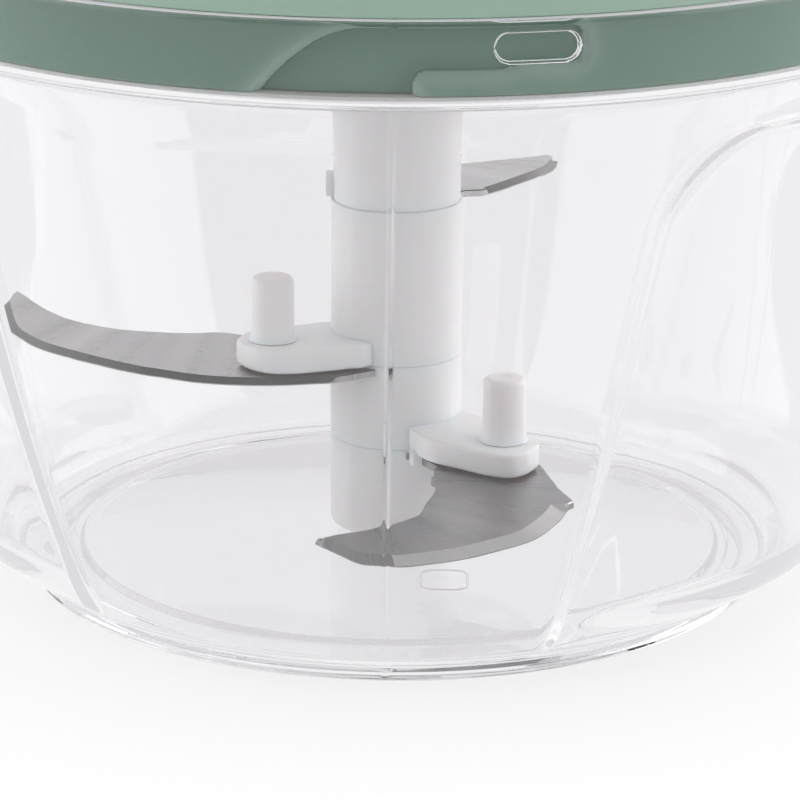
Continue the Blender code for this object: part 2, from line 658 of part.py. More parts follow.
def make_pivot_pin():
    """The steel pin in the middle of the floor."""
    low = FLOOR_TOP + FIT_GAP
    flange = low + PIN_FLANGE_HEIGHT
    top = low + PIN_HEIGHT
    profile = [(0.0, low), (PIN_FLANGE_RADIUS, low), (PIN_FLANGE_RADIUS, flange),
               (PIN_RADIUS, flange), (PIN_RADIUS, top - PIN_POINT),
               (PIN_RADIUS - PIN_POINT, top), (0.0, top)]
    return turned("pivot_pin", profile, "steel", None, BORE_SEGMENTS)


# Column

def make_sleeve(name, low, high, radius, bore, axis, finish="white", bottom_round=0.0):
    """A sleeve of the column, with a round lower edge if asked."""
    eased = bottom_round * EDGE_ROUND_SHARE
    profile = [(bore, low), (radius - bottom_round, low), (radius - eased, low + eased),
               (radius, low + bottom_round), (radius, high), (bore, high)]
    if bottom_round == 0.0:
        profile = [(bore, low), (radius, low), (radius, high), (bore, high)]
    return turned(name, profile, finish, axis, 2 * BORE_SEGMENTS)


def traced(shares, reach, azimuth):
    """The (x, y) points of an outline traced in shares of its reach and angles from its arm."""
    return np.array([polar(share * reach, azimuth + angle)[:2] for share, angle in shares])


def make_arm(name, shares, reach, azimuth, low, axis):
    """An arm: its outline drawn in a little at the lower and upper edges, which rounds them."""
    outline = traced(shares, reach, azimuth)
    middle = np.array(polar(reach / 2, azimuth)[:2])
    away = np.linalg.norm(outline - middle, axis=1)[:, None]
    drawn_in = outline - (outline - middle) * ARM_ROUND / away
    levels = [(drawn_in, low), (outline, low + ARM_ROUND),
              (outline, low + ARM_THICKNESS - ARM_ROUND), (drawn_in, low + ARM_THICKNESS)]
    rings = [np.column_stack([points, np.full(len(points), height)]) for points, height in levels]
    return skinned(name, rings, None, axis)


def make_hub(name, low, high, radius, azimuth, shares, reach, post_distance, axis):
    """A sleeve with the arm that holds one blade, its post hole and its locating key."""
    hub = make_sleeve(name, low, high, radius, SLEEVE_BORE_RADIUS, axis)
    arm = make_arm(name + "_arm_form", shares, reach, azimuth, low, axis)
    inside = rod(name + "_bore_form", (SLEEVE_BORE_RADIUS + radius) / 2, low - OVERRUN,
                 high + OVERRUN, None, axis)
    cut(arm, inside)
    weld(hub, arm)
    angles = np.linspace(*KEY_ANGLES, KEY_STEPS) + azimuth
    key = band(name + "_key_form", angles, [low - KEY_DROP] * KEY_STEPS,
               [low + WELD_DEPTH] * KEY_STEPS, BLADE_CLEAR_RADIUS, COLUMN_RADIUS + KEY_REACH,
               None, axis)
    weld(hub, key)
    centre = polar(post_distance, azimuth)[:2]
    hole = rod(name + "_hole_form", HOLE_RADIUS, low - OVERRUN, low + ARM_THICKNESS + OVERRUN,
               None, axis, centre, POST_SEGMENTS)
    cut(hub, hole)
    return hub


def add_stop(hub, low, azimuth, axis):
    """A small upright stop on the side of the upper hub."""
    angles = np.linspace(*STOP_ANGLES, KEY_STEPS) + azimuth
    inner = COLUMN_TOP_RADIUS - WELD_DEPTH
    stop = band("stop_form", angles, [low + FIT_GAP] * KEY_STEPS,
                [low + ARM_THICKNESS] * KEY_STEPS, inner, COLUMN_TOP_RADIUS + STOP_REACH,
                None, axis)
    weld(hub, stop)


def make_post(name, hub_low, azimuth, distance, axis):
    """A post whose stem passes through arm and blade and is staked below the blade."""
    seat = hub_low + ARM_THICKNESS + FIT_GAP
    top = seat + POST_HEIGHT
    stake = hub_low - FIT_GAP - BLADE_THICKNESS - FIT_GAP
    eased = POST_ROUND * EDGE_ROUND_SHARE
    profile = [(0.0, stake - STAKE_HEIGHT), (STAKE_RADIUS * STAKE_TIP_SHARE, stake - STAKE_HEIGHT),
               (STAKE_RADIUS, stake), (STEM_RADIUS, stake), (STEM_RADIUS, seat),
               (POST_RADIUS, seat), (POST_TOP_RADIUS, top - POST_ROUND),
               (POST_TOP_RADIUS - eased, top - eased),
               (POST_TOP_RADIUS - POST_ROUND, top), (0.0, top)]
    post = turned(name, profile, "white", None, POST_SEGMENTS)
    post.location = polar(distance, azimuth)
    bpy.context.view_layer.update()
    post.parent = axis
    post.matrix_parent_inverse = axis.matrix_world.inverted()
    return post


def distance_along(points):
    """How far along a line each of its points lies, from 0 to 1."""
    steps = np.linalg.norm(np.diff(points, axis=0), axis=1)
    return np.concatenate([[0.0], np.cumsum(steps)]) / steps.sum()


def make_blade(name, hub_low, azimuth, reach, leading, trailing, ground_share, bevel_width,
               post_distance, axis, lift=0.0, lift_start=1.0):
    """A blade skinned between its leading and trailing edges, ground along the leading one.

    The bevel starts where the ground share of the leading edge is reached. The
    tip is lifted with the square of the distance past its start.
    """
    front = traced(leading, reach, azimuth)
    along = distance_along(front)
    rear = traced(trailing, reach, azimuth)
    passed = distance_along(rear)
    back = np.column_stack([np.interp(along, passed, rear[:, k]) for k in range(2)])
    top = hub_low - FIT_GAP
    base = top - BLADE_THICKNESS
    width = np.linalg.norm(back - front, axis=1)
    ground = np.where(along > ground_share, 1.0, 0.0)
    wide = np.minimum(bevel_width, width * BEVEL_LIMIT_SHARE)
    bevel = np.maximum(wide * ground, EDGE_LAND)
    inset = front + (back - front) * (bevel / width)[:, None]
    drop = EDGE_LAND + (BLADE_THICKNESS - 2 * EDGE_LAND) * ground

    def raised(points, height):
        radius = np.linalg.norm(points, axis=1)
        past = np.clip(radius / reach - lift_start, 0.0, None) / max(1.0 - lift_start, EDGE_LAND)
        return np.column_stack([points, height + lift * past ** 2])

    rings = np.stack([raised(back, base), raised(front, base), raised(front, top - drop),
                      raised(inset, top), raised(back, top)], axis=1)
    blade = skinned(name, rings, "steel", axis)
    clearance = math.degrees(FIT_GAP / COLUMN_RADIUS)
    angles = np.linspace(KEY_ANGLES[0] - clearance, KEY_ANGLES[1] + clearance, KEY_STEPS) + azimuth
    notch = band(name + "_notch_form", angles, [base - OVERRUN] * KEY_STEPS,
                 [top + OVERRUN] * KEY_STEPS, COLUMN_RADIUS - OVERRUN,
                 COLUMN_RADIUS + KEY_REACH + FIT_GAP, None, axis)
    cut(blade, notch)
    core = rod(name + "_root_form", BLADE_CLEAR_RADIUS, base - OVERRUN, top + OVERRUN, None, axis,
               segments=2 * BORE_SEGMENTS)
    cut(blade, core)
    centre = polar(post_distance, azimuth)[:2]
    hole = rod(name + "_hole_form", HOLE_RADIUS, base - OVERRUN, top + OVERRUN, None, axis, centre,
               POST_SEGMENTS)
    cut(blade, hole)
    return blade


def make_column(axis):
    """The blade column: bush, sleeves with their arms, core with its drive head, blades, posts."""
    bush_low = COLUMN_BOTTOM + FIT_GAP
    bush_radius = PIN_RADIUS + FIT_GAP + BUSH_WALL
    turned("pivot_bush", [(PIN_RADIUS + FIT_GAP, bush_low), (bush_radius, bush_low),
                          (bush_radius, bush_low + BUSH_LENGTH),
                          (PIN_RADIUS + FIT_GAP, bush_low + BUSH_LENGTH)],
           "brass", axis, BORE_SEGMENTS)
    make_sleeve("bottom_sleeve", COLUMN_BOTTOM, LOWER_HUB_Z - FIT_GAP, COLUMN_RADIUS,
                max(SLEEVE_BORE_RADIUS, bush_radius + FIT_GAP), axis, bottom_round=COLUMN_ROUND)
    make_hub("lower_hub", LOWER_HUB_Z, MIDDLE_HUB_Z - FIT_GAP, COLUMN_RADIUS,
             LOWER_ARM_AZIMUTH, LONG_ARM_SHARES, LONG_ARM_REACH, LONG_POST_DISTANCE, axis)
    make_hub("middle_hub", MIDDLE_HUB_Z, UPPER_HUB_Z - FIT_GAP, COLUMN_RADIUS,
             MIDDLE_ARM_AZIMUTH, SHORT_ARM_SHARES, SHORT_ARM_REACH, SHORT_POST_DISTANCE, axis)
    upper = make_hub("upper_hub", UPPER_HUB_Z, COLUMN_TOP, COLUMN_TOP_RADIUS,
                     UPPER_ARM_AZIMUTH, SHORT_ARM_SHARES, SHORT_ARM_REACH, SHORT_POST_DISTANCE,
                     axis)
    add_stop(upper, UPPER_HUB_Z, UPPER_ARM_AZIMUTH, axis)
    core_low = bush_low + BUSH_LENGTH + FIT_GAP
    core = rod("drive_core", CORE_RADIUS, core_low, COLUMN_TOP + WELD_DEPTH, "white", axis)
    head = plate("drive_head_form", hexagon(DRIVE_HEAD_FLATS), COLUMN_TOP + FIT_GAP,
                 COLUMN_TOP + FIT_GAP + DRIVE_HEAD_LENGTH, None, axis)
    weld(core, head)
    blade_low = LOWER_HUB_Z - FIT_GAP - BLADE_THICKNESS
    lower_reach = float(body_radius(blade_low)) - WALL - LOWER_BLADE_RUN_GAP
    make_blade("lower_blade", LOWER_HUB_Z, LOWER_ARM_AZIMUTH, lower_reach,
               LOWER_LEADING_SHARES, LOWER_TRAILING_SHARES, LOWER_GROUND_SHARE,
               LOWER_BEVEL_WIDTH, LONG_POST_DISTANCE, axis)
    make_blade("middle_blade", MIDDLE_HUB_Z, MIDDLE_ARM_AZIMUTH, MIDDLE_BLADE_REACH,
               MIDDLE_LEADING_SHARES, MIDDLE_TRAILING_SHARES, MIDDLE_GROUND_SHARE,
               MIDDLE_BEVEL_WIDTH, SHORT_POST_DISTANCE, axis, MIDDLE_TIP_LIFT,
               MIDDLE_TIP_START_SHARE)
    make_blade("upper_blade", UPPER_HUB_Z, UPPER_ARM_AZIMUTH, UPPER_BLADE_REACH,
               UPPER_LEADING_SHARES, UPPER_TRAILING_SHARES, UPPER_GROUND_SHARE,
               UPPER_BEVEL_WIDTH, SHORT_POST_DISTANCE, axis)
    make_post("lower_post", LOWER_HUB_Z, LOWER_ARM_AZIMUTH, LONG_POST_DISTANCE, axis)
    make_post("middle_post", MIDDLE_HUB_Z, MIDDLE_ARM_AZIMUTH, SHORT_POST_DISTANCE, axis)
    make_post("upper_post", UPPER_HUB_Z, UPPER_ARM_AZIMUTH, SHORT_POST_DISTANCE, axis)


# Lid

def make_groove(k, axis):
    """One bayonet groove: a mouth with a ramp on its left, and a lane to the right of it."""
    lug_top = RIM_Z - LUG_DROP
    ceiling = lug_top + GROOVE_CEILING
    lane_floor = lug_top - LUG_HEIGHT - GROOVE_LANE_FALL
    locked_floor = lug_top - LUG_HEIGHT - FIT_GAP
    below = SKIRT_LOW_Z - OVERRUN
    start, end, lane_start = GROOVE_MOUTH_ANGLES
    offset = -90.0 + 360.0 / LUG_COUNT * k
    ramp = start + GROOVE_RAMP_ANGLE * np.linspace(0.0, 1.0, RAMP_STEPS)
    rise = 1.0 - (1.0 - (ramp - start) / GROOVE_RAMP_ANGLE) ** 2
    ramp_top = SKIRT_LOW_Z + (ceiling - SKIRT_LOW_Z) * rise
    angles = list(ramp) + [end, lane_start]
    low = [below] * (RAMP_STEPS + 1) + [lane_floor]
    high = list(ramp_top) + [ceiling] * 2
    angles += [GROOVE_LOCK_ANGLES[0], GROOVE_LOCK_ANGLES[1], GROOVE_LANE_ANGLE]
    low += [lane_floor, locked_floor, locked_floor]
    high += [ceiling] * 3
    return band(f"groove_form_{k + 1}", np.array(angles) + offset, low, high,
                SKIRT_RADIUS - GROOVE_DEPTH, SKIRT_RADIUS + OVERRUN, None, axis)


def make_skirt(axis):
    """The lid's inner moulding: a skirt with bayonet grooves under a flat deck."""
    inner = SKIRT_RADIUS - SKIRT_WALL
    profile = [(inner, SKIRT_LOW_Z), (SKIRT_RADIUS, SKIRT_LOW_Z), (SKIRT_RADIUS, DECK_TOP_Z),
               (DECK_HOLE_RADIUS, DECK_TOP_Z), (DECK_HOLE_RADIUS, DECK_LOW_Z),
               (inner, DECK_LOW_Z)]
    skirt = turned("lid_skirt", profile, "green", axis)
    for k in range(LUG_COUNT):
        cut(skirt, make_groove(k, axis))
    for k, azimuth in enumerate(COVER_SCREW_AZIMUTHS):
        centre = polar(COVER_SCREW_DISTANCE, azimuth)[:2]
        cut(skirt, rod(f"deck_hole_form_{k + 1}", SCREW_RADIUS + FIT_GAP, DECK_LOW_Z - OVERRUN,
                       DECK_TOP_Z + OVERRUN, None, axis, centre, SCREW_SEGMENTS))
    return skirt


def dome_profile(radius, height, low):
    """Points of the cover's curved top, from its side to the middle."""
    return [(radius * across, low + height * up) for across, up in COVER_DOME_SHARES]


def make_cover(axis):
    """The cap over the mechanism, with its screw bosses and the handle's pocket."""
    side_top = COVER_LOW_Z + COVER_SIDE_HEIGHT
    dome = COVER_HEIGHT - COVER_SIDE_HEIGHT
    outer = dome_profile(COVER_RADIUS, dome, side_top)
    inner = dome_profile(COVER_RADIUS - COVER_WALL, dome - COVER_WALL, side_top)[::-1]
    bottom = [(COVER_RADIUS - COVER_WALL, COVER_LOW_Z), (COVER_RADIUS, COVER_LOW_Z)]
    profile = inner + bottom + outer
    cover = turned("lid_cover", profile, "green", axis)
    boss_low = DECK_TOP_Z + FIT_GAP
    roof = COVER_TOP_Z - COVER_WALL
    for k, azimuth in enumerate(COVER_SCREW_AZIMUTHS):
        centre = polar(COVER_SCREW_DISTANCE, azimuth)[:2]
        top = side_top + dome * COVER_BOSS_SHARE - COVER_WALL / 2
        weld(cover, rod(f"boss_form_{k + 1}", BOSS_RADIUS, boss_low, top, None, axis, centre,
                        POST_SEGMENTS))
        cut(cover, rod(f"boss_hole_form_{k + 1}", SCREW_RADIUS + FIT_GAP, boss_low - OVERRUN,
                       DECK_LOW_Z + SCREW_LENGTH + FIT_GAP, None, axis, centre, SCREW_SEGMENTS))
    weld(cover, rod("spindle_boss_form", SPINDLE_BOSS_RADIUS, ARBOR_TOP_Z + FIT_GAP,
                    roof + WELD_DEPTH, None, axis))
    cut(cover, rod("spindle_hole_form", SPINDLE_RADIUS + FIT_GAP, ARBOR_TOP_Z - OVERRUN,
                   roof, None, axis))
    for k, azimuth in enumerate(CUP_EAR_AZIMUTHS):
        centre = polar(CUP_EAR_DISTANCE, azimuth)[:2]
        weld(cover, rod(f"cup_boss_form_{k + 1}", CUP_EAR_RADIUS, EAR_TOP_Z + FIT_GAP,
                        roof + WELD_DEPTH, None, axis, centre, POST_SEGMENTS))
        cut(cover, rod(f"cup_boss_hole_form_{k + 1}", SCREW_RADIUS + FIT_GAP, EAR_TOP_Z - OVERRUN,
                       EAR_LOW_Z + CUP_SCREW_LENGTH + FIT_GAP, None, axis, centre,
                       SCREW_SEGMENTS))
    add_pocket(cover, axis)
    return cover


def add_pocket(cover, axis):
    """Wall off a pocket in the cover for the handle, open to the outside."""
    wall_angle = math.degrees(POCKET_WALL / POCKET_RADIUS)
    wide = POCKET_HALF_ANGLE + wall_angle
    low = POCKET_LOW_Z - POCKET_FLOOR
    high = POCKET_LOW_Z + POCKET_HEIGHT + POCKET_FLOOR
    count = 2 + int(2 * wide / ARC_STEP)
    angles = POCKET_AZIMUTH + np.linspace(-wide, wide, count)
    block = band("pocket_form", angles, [low] * count, [high] * count,
                 POCKET_RADIUS - POCKET_WALL, COVER_RADIUS - COVER_WALL / 2, None, axis)
    trim = turned("pocket_trim_form", trim_profile(), None, axis)
    combine(block, trim, "INTERSECT")
    weld(cover, block)
    angles = POCKET_AZIMUTH + np.linspace(-POCKET_HALF_ANGLE, POCKET_HALF_ANGLE, count)
    cavity = band("pocket_cavity_form", angles, [POCKET_LOW_Z] * count,
                  [POCKET_LOW_Z + POCKET_HEIGHT] * count, POCKET_RADIUS,
                  COVER_RADIUS + OVERRUN, None, axis)
    cut(cover, cavity)
    hole = rod("eyelet_hole_form", EYELET_RADIUS + FIT_GAP, POCKET_RADIUS - POCKET_WALL - OVERRUN,
               POCKET_RADIUS + OVERRUN, None, None)
    lay_along_y(hole, CORD_Z)
    hole.parent = axis
    hole.matrix_parent_inverse = axis.matrix_world.inverted()
    cut(cover, hole)


def trim_profile():
    """A solid just inside the cover's outer surface, which keeps the pocket's block inside it."""
    side_top = COVER_LOW_Z + COVER_SIDE_HEIGHT
    dome = COVER_HEIGHT - COVER_SIDE_HEIGHT
    outer = dome_profile(COVER_RADIUS - COVER_WALL / 2, dome - COVER_WALL / 2, side_top)
    return [(0.0, COVER_LOW_Z), (COVER_RADIUS - COVER_WALL / 2, COVER_LOW_Z)] + outer


def make_screw(name, centre, seat, length, radius, head_radius, axis, up=True):
    """A screw with a slotted head; its shank rises from the seat, or goes down from it."""
    sign = 1.0 if up else -1.0
    head = seat - sign * SCREW_HEAD_HEIGHT
    profile = [(0.0, head), (head_radius * SCREW_HEAD_TOP_SHARE, head),
               (head_radius, head + sign * SCREW_SLOT_DEPTH), (head_radius, seat), (radius, seat),
               (radius, seat + sign * (length - radius)), (0.0, seat + sign * length)]
    if not up:
        profile = profile[::-1]
    screw = turned(name, profile, "steel", None, SCREW_SEGMENTS)
    x, y = centre
    screw.location = (x, y, 0.0)
    bpy.context.view_layer.update()
    screw.parent = axis
    screw.matrix_parent_inverse = axis.matrix_world.inverted()
    half = SCREW_SLOT_WIDTH / 2
    reach = head_radius + OVERRUN
    outline = [(x - reach, y - half), (x + reach, y - half), (x + reach, y + half),
               (x - reach, y + half)]
    deep = head + sign * SCREW_SLOT_DEPTH
    out = head - sign * OVERRUN
    slot = plate(name + "_slot_form", outline, min(deep, out), max(deep, out), None, axis)
    cut(screw, slot)
    return screw


def make_seal_and_plate(axis):
    """The silicone seal inside the skirt, and the white plate that closes the lid from below."""
    low = LEDGE_Z + FIT_GAP
    lip_top = SKIRT_LOW_Z - FIT_GAP
    lip = SKIRT_RADIUS - SEAL_LIP_EDGE
    profile = [(SEAL_RADIUS - SEAL_WIDTH, low), (lip, low), (lip, lip_top), (SEAL_RADIUS, lip_top),
               (SEAL_RADIUS, low + SEAL_HEIGHT), (SEAL_RADIUS - SEAL_WIDTH, low + SEAL_HEIGHT)]
    turned("lid_seal", profile, "silicone", axis)
    plate_top = UNDER_PLATE_Z + UNDER_PLATE_THICKNESS
    rim_top = DECK_LOW_Z - FIT_GAP
    tube = UNDER_PLATE_HOLE + UNDER_PLATE_TUBE_WALL
    rim = UNDER_PLATE_RADIUS - UNDER_PLATE_RIM
    profile = [(UNDER_PLATE_HOLE, UNDER_PLATE_Z), (UNDER_PLATE_RADIUS, UNDER_PLATE_Z),
               (UNDER_PLATE_RADIUS, rim_top), (rim, rim_top), (rim, plate_top), (tube, plate_top),
               (tube, rim_top), (UNDER_PLATE_HOLE, rim_top)]
    turned("under_plate", profile, "white", axis)


def make_bushing_and_spindle(axis):
    """The bushing that the socket turns in, and the steel spindle that the drum turns on."""
    inner = SOCKET_RADIUS + FIT_GAP
    outer = DECK_HOLE_RADIUS - FIT_GAP
    flange_low = DECK_TOP_Z + FIT_GAP
    profile = [(inner, DECK_LOW_Z), (outer, DECK_LOW_Z), (outer, flange_low),
               (BUSHING_FLANGE_RADIUS, flange_low), (BUSHING_FLANGE_RADIUS, BUSHING_TOP_Z),
               (inner, BUSHING_TOP_Z)]
    turned("socket_bushing", profile, "white", axis, 2 * BORE_SEGMENTS)
    roof = COVER_TOP_Z - COVER_WALL
    rod("drum_spindle", SPINDLE_RADIUS, DRUM_LOW_Z, roof - FIT_GAP, "steel", axis)


def make_spring_cup(axis):
    """The cup that holds the return spring, with ears that are screwed up into the cover."""
    profile = [(ARBOR_RADIUS + CUP_RUN_GAP, CUP_LOW_Z), (CUP_RADIUS, CUP_LOW_Z),
               (CUP_RADIUS, CUP_TOP_Z), (CUP_RADIUS - CUP_WALL, CUP_TOP_Z),
               (CUP_RADIUS - CUP_WALL, CUP_FLOOR_TOP_Z),
               (ARBOR_RADIUS + CUP_RUN_GAP, CUP_FLOOR_TOP_Z)]
    cup = turned("spring_cup", profile, "white", axis, 2 * BORE_SEGMENTS)
    for k, azimuth in enumerate(CUP_EAR_AZIMUTHS):
        centre = polar(CUP_EAR_DISTANCE, azimuth)[:2]
        ear = rod(f"ear_form_{k + 1}", CUP_EAR_RADIUS, EAR_LOW_Z, EAR_TOP_Z, None, axis, centre,
                  POST_SEGMENTS)
        keep = rod(f"ear_trim_form_{k + 1}", CUP_RADIUS - CUP_WALL / 2, EAR_LOW_Z - OVERRUN,
                   EAR_TOP_Z + OVERRUN, None, axis, segments=2 * BORE_SEGMENTS)
        cut(ear, keep)
        weld(cup, ear)
        cut(cup, rod(f"ear_hole_form_{k + 1}", SCREW_RADIUS + FIT_GAP, EAR_LOW_Z - OVERRUN,
                     EAR_TOP_Z + OVERRUN, None, axis, centre, SCREW_SEGMENTS))
        make_screw(f"cup_screw_{k + 1}", centre, EAR_LOW_Z - FIT_GAP, CUP_SCREW_LENGTH,
                   SCREW_RADIUS, SCREW_HEAD_RADIUS, axis)
    return cup


def make_spring(axis):
    """The return spring: one flat strip wound from the arbor out to the cup's wall."""
    inner = ARBOR_RADIUS + FIT_GAP
    outer = CUP_RADIUS - CUP_WALL - FIT_GAP - SPRING_STRIP_THICKNESS
    low = CUP_FLOOR_TOP_Z + FIT_GAP
    turns = np.linspace(0.0, SPRING_TURNS, SPRING_TURNS * SPRING_STEPS_PER_TURN + 1)
    radius = inner + (outer - inner) * turns / SPRING_TURNS
    rings = []
    for reach, turn in zip(radius, turns):
        azimuth = 360.0 * turn
        rings.append([polar(reach, azimuth, low), polar(reach + SPRING_STRIP_THICKNESS, azimuth, low),
                      polar(reach + SPRING_STRIP_THICKNESS, azimuth, low + SPRING_HEIGHT),
                      polar(reach, azimuth, low + SPRING_HEIGHT)])
    return skinned("return_spring", rings, "steel", axis)


def make_eyelet(axis):
    """The eyelet that leads the cord through the pocket's inner wall."""
    profile = [(EYELET_BORE_RADIUS, EYELET_IN_Y), (EYELET_RADIUS, EYELET_IN_Y),
               (EYELET_RADIUS, POCKET_RADIUS + FIT_GAP),
               (EYELET_FLANGE_RADIUS, POCKET_RADIUS + FIT_GAP),
               (EYELET_FLANGE_RADIUS, EYELET_OUT_Y), (EYELET_BORE_RADIUS, EYELET_OUT_Y)]
    eyelet = turned("cord_eyelet", profile, "white", None, BORE_SEGMENTS)
    lay_along_y(eyelet, CORD_Z)
    eyelet.parent = axis
    eyelet.matrix_parent_inverse = axis.matrix_world.inverted()
    return eyelet


def make_cord(name, route, axis):
    """A length of cord: a round tube along a smooth route."""
    length = sum(math.dist(a, b) for a, b in zip(route[:-1], route[1:]))
    points = smooth_path(route, max(4, round(length / CORD_STEP)))
    curve = bpy.data.curves.new(name, "CURVE")
    curve.dimensions = "3D"
    curve.bevel_depth = CORD_RADIUS
    curve.bevel_resolution = 2
    curve.use_fill_caps = True
    spline = curve.splines.new("POLY")
    spline.points.add(len(points) - 1)
    for place, point in zip(spline.points, points):
        place.co = (*point, 1.0)
    curve.materials.append(make_material(name + "_finish", *FINISHES["cord"]))
    made = bpy.data.objects.new(name, curve)
    bpy.context.scene.collection.objects.link(made)
    made.parent = axis
    made.matrix_parent_inverse = axis.matrix_world.inverted()
    return made


def make_cord_lead(axis):
    """The cord's run inside the lid: off the winding at a tangent, then into the eyelet."""
    bend = EYELET_IN_Y - CORD_BEND_LENGTH
    away = math.degrees(math.acos(LEAD_RADIUS / bend))
    start = polar(LEAD_RADIUS, 90.0 - away, CORD_Z)
    middle = tuple((a + b) / 2 for a, b in zip(start, (0.0, bend, CORD_Z)))
    route = [start, middle, (0.0, bend, CORD_Z), (0.0, EYELET_IN_Y, CORD_Z),
             (0.0, EYELET_OUT_Y, CORD_Z)]
    return make_cord("cord_lead", route, axis)


# Drum

def make_drum(axis):
    """The drum with its winding and cap, and the drive socket that is screwed under it."""
    bore = SPINDLE_RADIUS + FIT_GAP
    core_top = DRUM_CAP_Z - FIT_GAP
    profile = [(bore, DRUM_LOW_Z), (DRUM_FLANGE_RADIUS, DRUM_LOW_Z),
               (DRUM_FLANGE_RADIUS, GROOVE_LOW_Z), (DRUM_CORE_RADIUS, GROOVE_LOW_Z),
               (DRUM_CORE_RADIUS, core_top), (ARBOR_RADIUS, core_top),
               (ARBOR_RADIUS, ARBOR_TOP_Z), (bore, ARBOR_TOP_Z)]
    drum = turned("cord_drum", profile, "white", axis, 2 * BORE_SEGMENTS)
    cap_bore = ARBOR_RADIUS + FIT_GAP
    turned("drum_cap", [(cap_bore, DRUM_CAP_Z), (DRUM_FLANGE_RADIUS, DRUM_CAP_Z),
                        (DRUM_FLANGE_RADIUS, DRUM_CAP_TOP_Z), (cap_bore, DRUM_CAP_TOP_Z)],
           "white", axis, 2 * BORE_SEGMENTS)
    low, high = GROOVE_LOW_Z + FIT_GAP, GROOVE_TOP_Z - FIT_GAP
    turned("cord_winding", [(WINDING_LOW_RADIUS, low), (WINDING_RADIUS, low),
                            (WINDING_RADIUS, high), (WINDING_LOW_RADIUS, high)],
           "cord", axis, 2 * BORE_SEGMENTS)
    flange_top = SOCKET_FLANGE_Z + SOCKET_FLANGE_HEIGHT
    socket = turned("drive_socket", [(0.0, SOCKET_LOW_Z), (SOCKET_RADIUS, SOCKET_LOW_Z),
                                     (SOCKET_RADIUS, SOCKET_FLANGE_Z),
                                     (SOCKET_FLANGE_RADIUS, SOCKET_FLANGE_Z),
                                     (SOCKET_FLANGE_RADIUS, flange_top), (0.0, flange_top)],
                    "white", axis, 2 * BORE_SEGMENTS)
    cut(socket, plate("socket_cavity_form", hexagon(DRIVE_HEAD_FLATS + 2 * SOCKET_FLATS_GAP),
                      SOCKET_LOW_Z - OVERRUN, flange_top - SOCKET_ROOF, None, axis))
    head_seat = core_top - SCREW_HEAD_HEIGHT - FIT_GAP
    for k, azimuth in enumerate(DRIVE_SCREW_AZIMUTHS):
        centre = polar(DRIVE_SCREW_DISTANCE, azimuth)[:2]
        cut(drum, rod(f"drive_hole_form_{k + 1}", DRIVE_SCREW_RADIUS + FIT_GAP,
                      DRUM_LOW_Z - OVERRUN, core_top + OVERRUN, None, axis, centre,
                      SCREW_SEGMENTS))
        cut(drum, rod(f"drive_seat_form_{k + 1}", DRIVE_SCREW_HEAD_RADIUS + FIT_GAP,
                      head_seat - FIT_GAP, core_top + OVERRUN, None, axis, centre,
                      SCREW_SEGMENTS))
        cut(socket, rod(f"socket_hole_form_{k + 1}", DRIVE_SCREW_RADIUS + FIT_GAP,
                        SOCKET_FLANGE_Z - OVERRUN, flange_top + OVERRUN, None, axis, centre,
                        SCREW_SEGMENTS))
        make_screw(f"drive_screw_{k + 1}", centre, head_seat, head_seat - SOCKET_FLANGE_Z,
                   DRIVE_SCREW_RADIUS, DRIVE_SCREW_HEAD_RADIUS, axis, up=False)


# Handle

def make_handle(axis):
    """The pull handle: a curved grip, the knotted end of the cord in it, and its plug."""
    count = 2 + int(2 * HANDLE_HALF_ANGLE / ARC_STEP)
    shares = np.linspace(-1.0, 1.0, count)
    rings = []
    for share in shares:
        azimuth = POCKET_AZIMUTH + HANDLE_HALF_ANGLE * share
        squeeze = HANDLE_ROUND_RADIUS * share ** HANDLE_END_POWER
        low, high = HANDLE_LOW_Z, HANDLE_LOW_Z + HANDLE_HEIGHT
        inner, outer = HANDLE_IN_RADIUS, HANDLE_RADIUS - squeeze
        rings.append([polar(inner, azimuth, low), polar(outer - HANDLE_ROUND_RADIUS, azimuth, low),
                      polar(outer, azimuth, low + HANDLE_ROUND_RADIUS),
                      polar(outer, azimuth, high - HANDLE_ROUND_RADIUS),
                      polar(outer - HANDLE_ROUND_RADIUS, azimuth, high), polar(inner, azimuth, high)])
    grip = skinned("handle_grip", rings, "green", axis)
    bore = rod("handle_bore_form", HANDLE_BORE_RADIUS, HANDLE_IN_RADIUS - OVERRUN,
               HANDLE_RADIUS + OVERRUN, None, None)
    seat = rod("handle_seat_form", PLUG_RADIUS + FIT_GAP, KNOT_Y - FIT_GAP,
               HANDLE_RADIUS + OVERRUN, None, None)
    plug = rod("handle_plug", PLUG_RADIUS, PLUG_OUT_Y - PLUG_HEIGHT, PLUG_OUT_Y, "green", None)
    knot_middle = KNOT_Y + KNOT_RADIUS
    turn = np.radians(np.linspace(-90.0, 90.0, KNOT_STEPS))
    profile = [(KNOT_RADIUS * math.cos(t), knot_middle + KNOT_RADIUS * math.sin(t)) for t in turn]
    profile = [(0.0, KNOT_Y)] + profile[1:-1] + [(0.0, KNOT_Y + 2 * KNOT_RADIUS)]
    knot = turned("cord_knot", profile, "cord", None, SCREW_SEGMENTS)
    for piece in (bore, seat, plug, knot):
        lay_along_y(piece, CORD_Z)
        piece.parent = axis
        piece.matrix_parent_inverse = axis.matrix_world.inverted()
    cut(grip, bore)
    cut(grip, seat)
    middle = (HANDLE_IN_RADIUS + KNOT_Y) / 2
    route = [(0.0, HANDLE_IN_RADIUS, CORD_Z), (0.0, middle, CORD_Z), (0.0, KNOT_Y - FIT_GAP, CORD_Z)]
    make_cord("cord_end", route, axis)


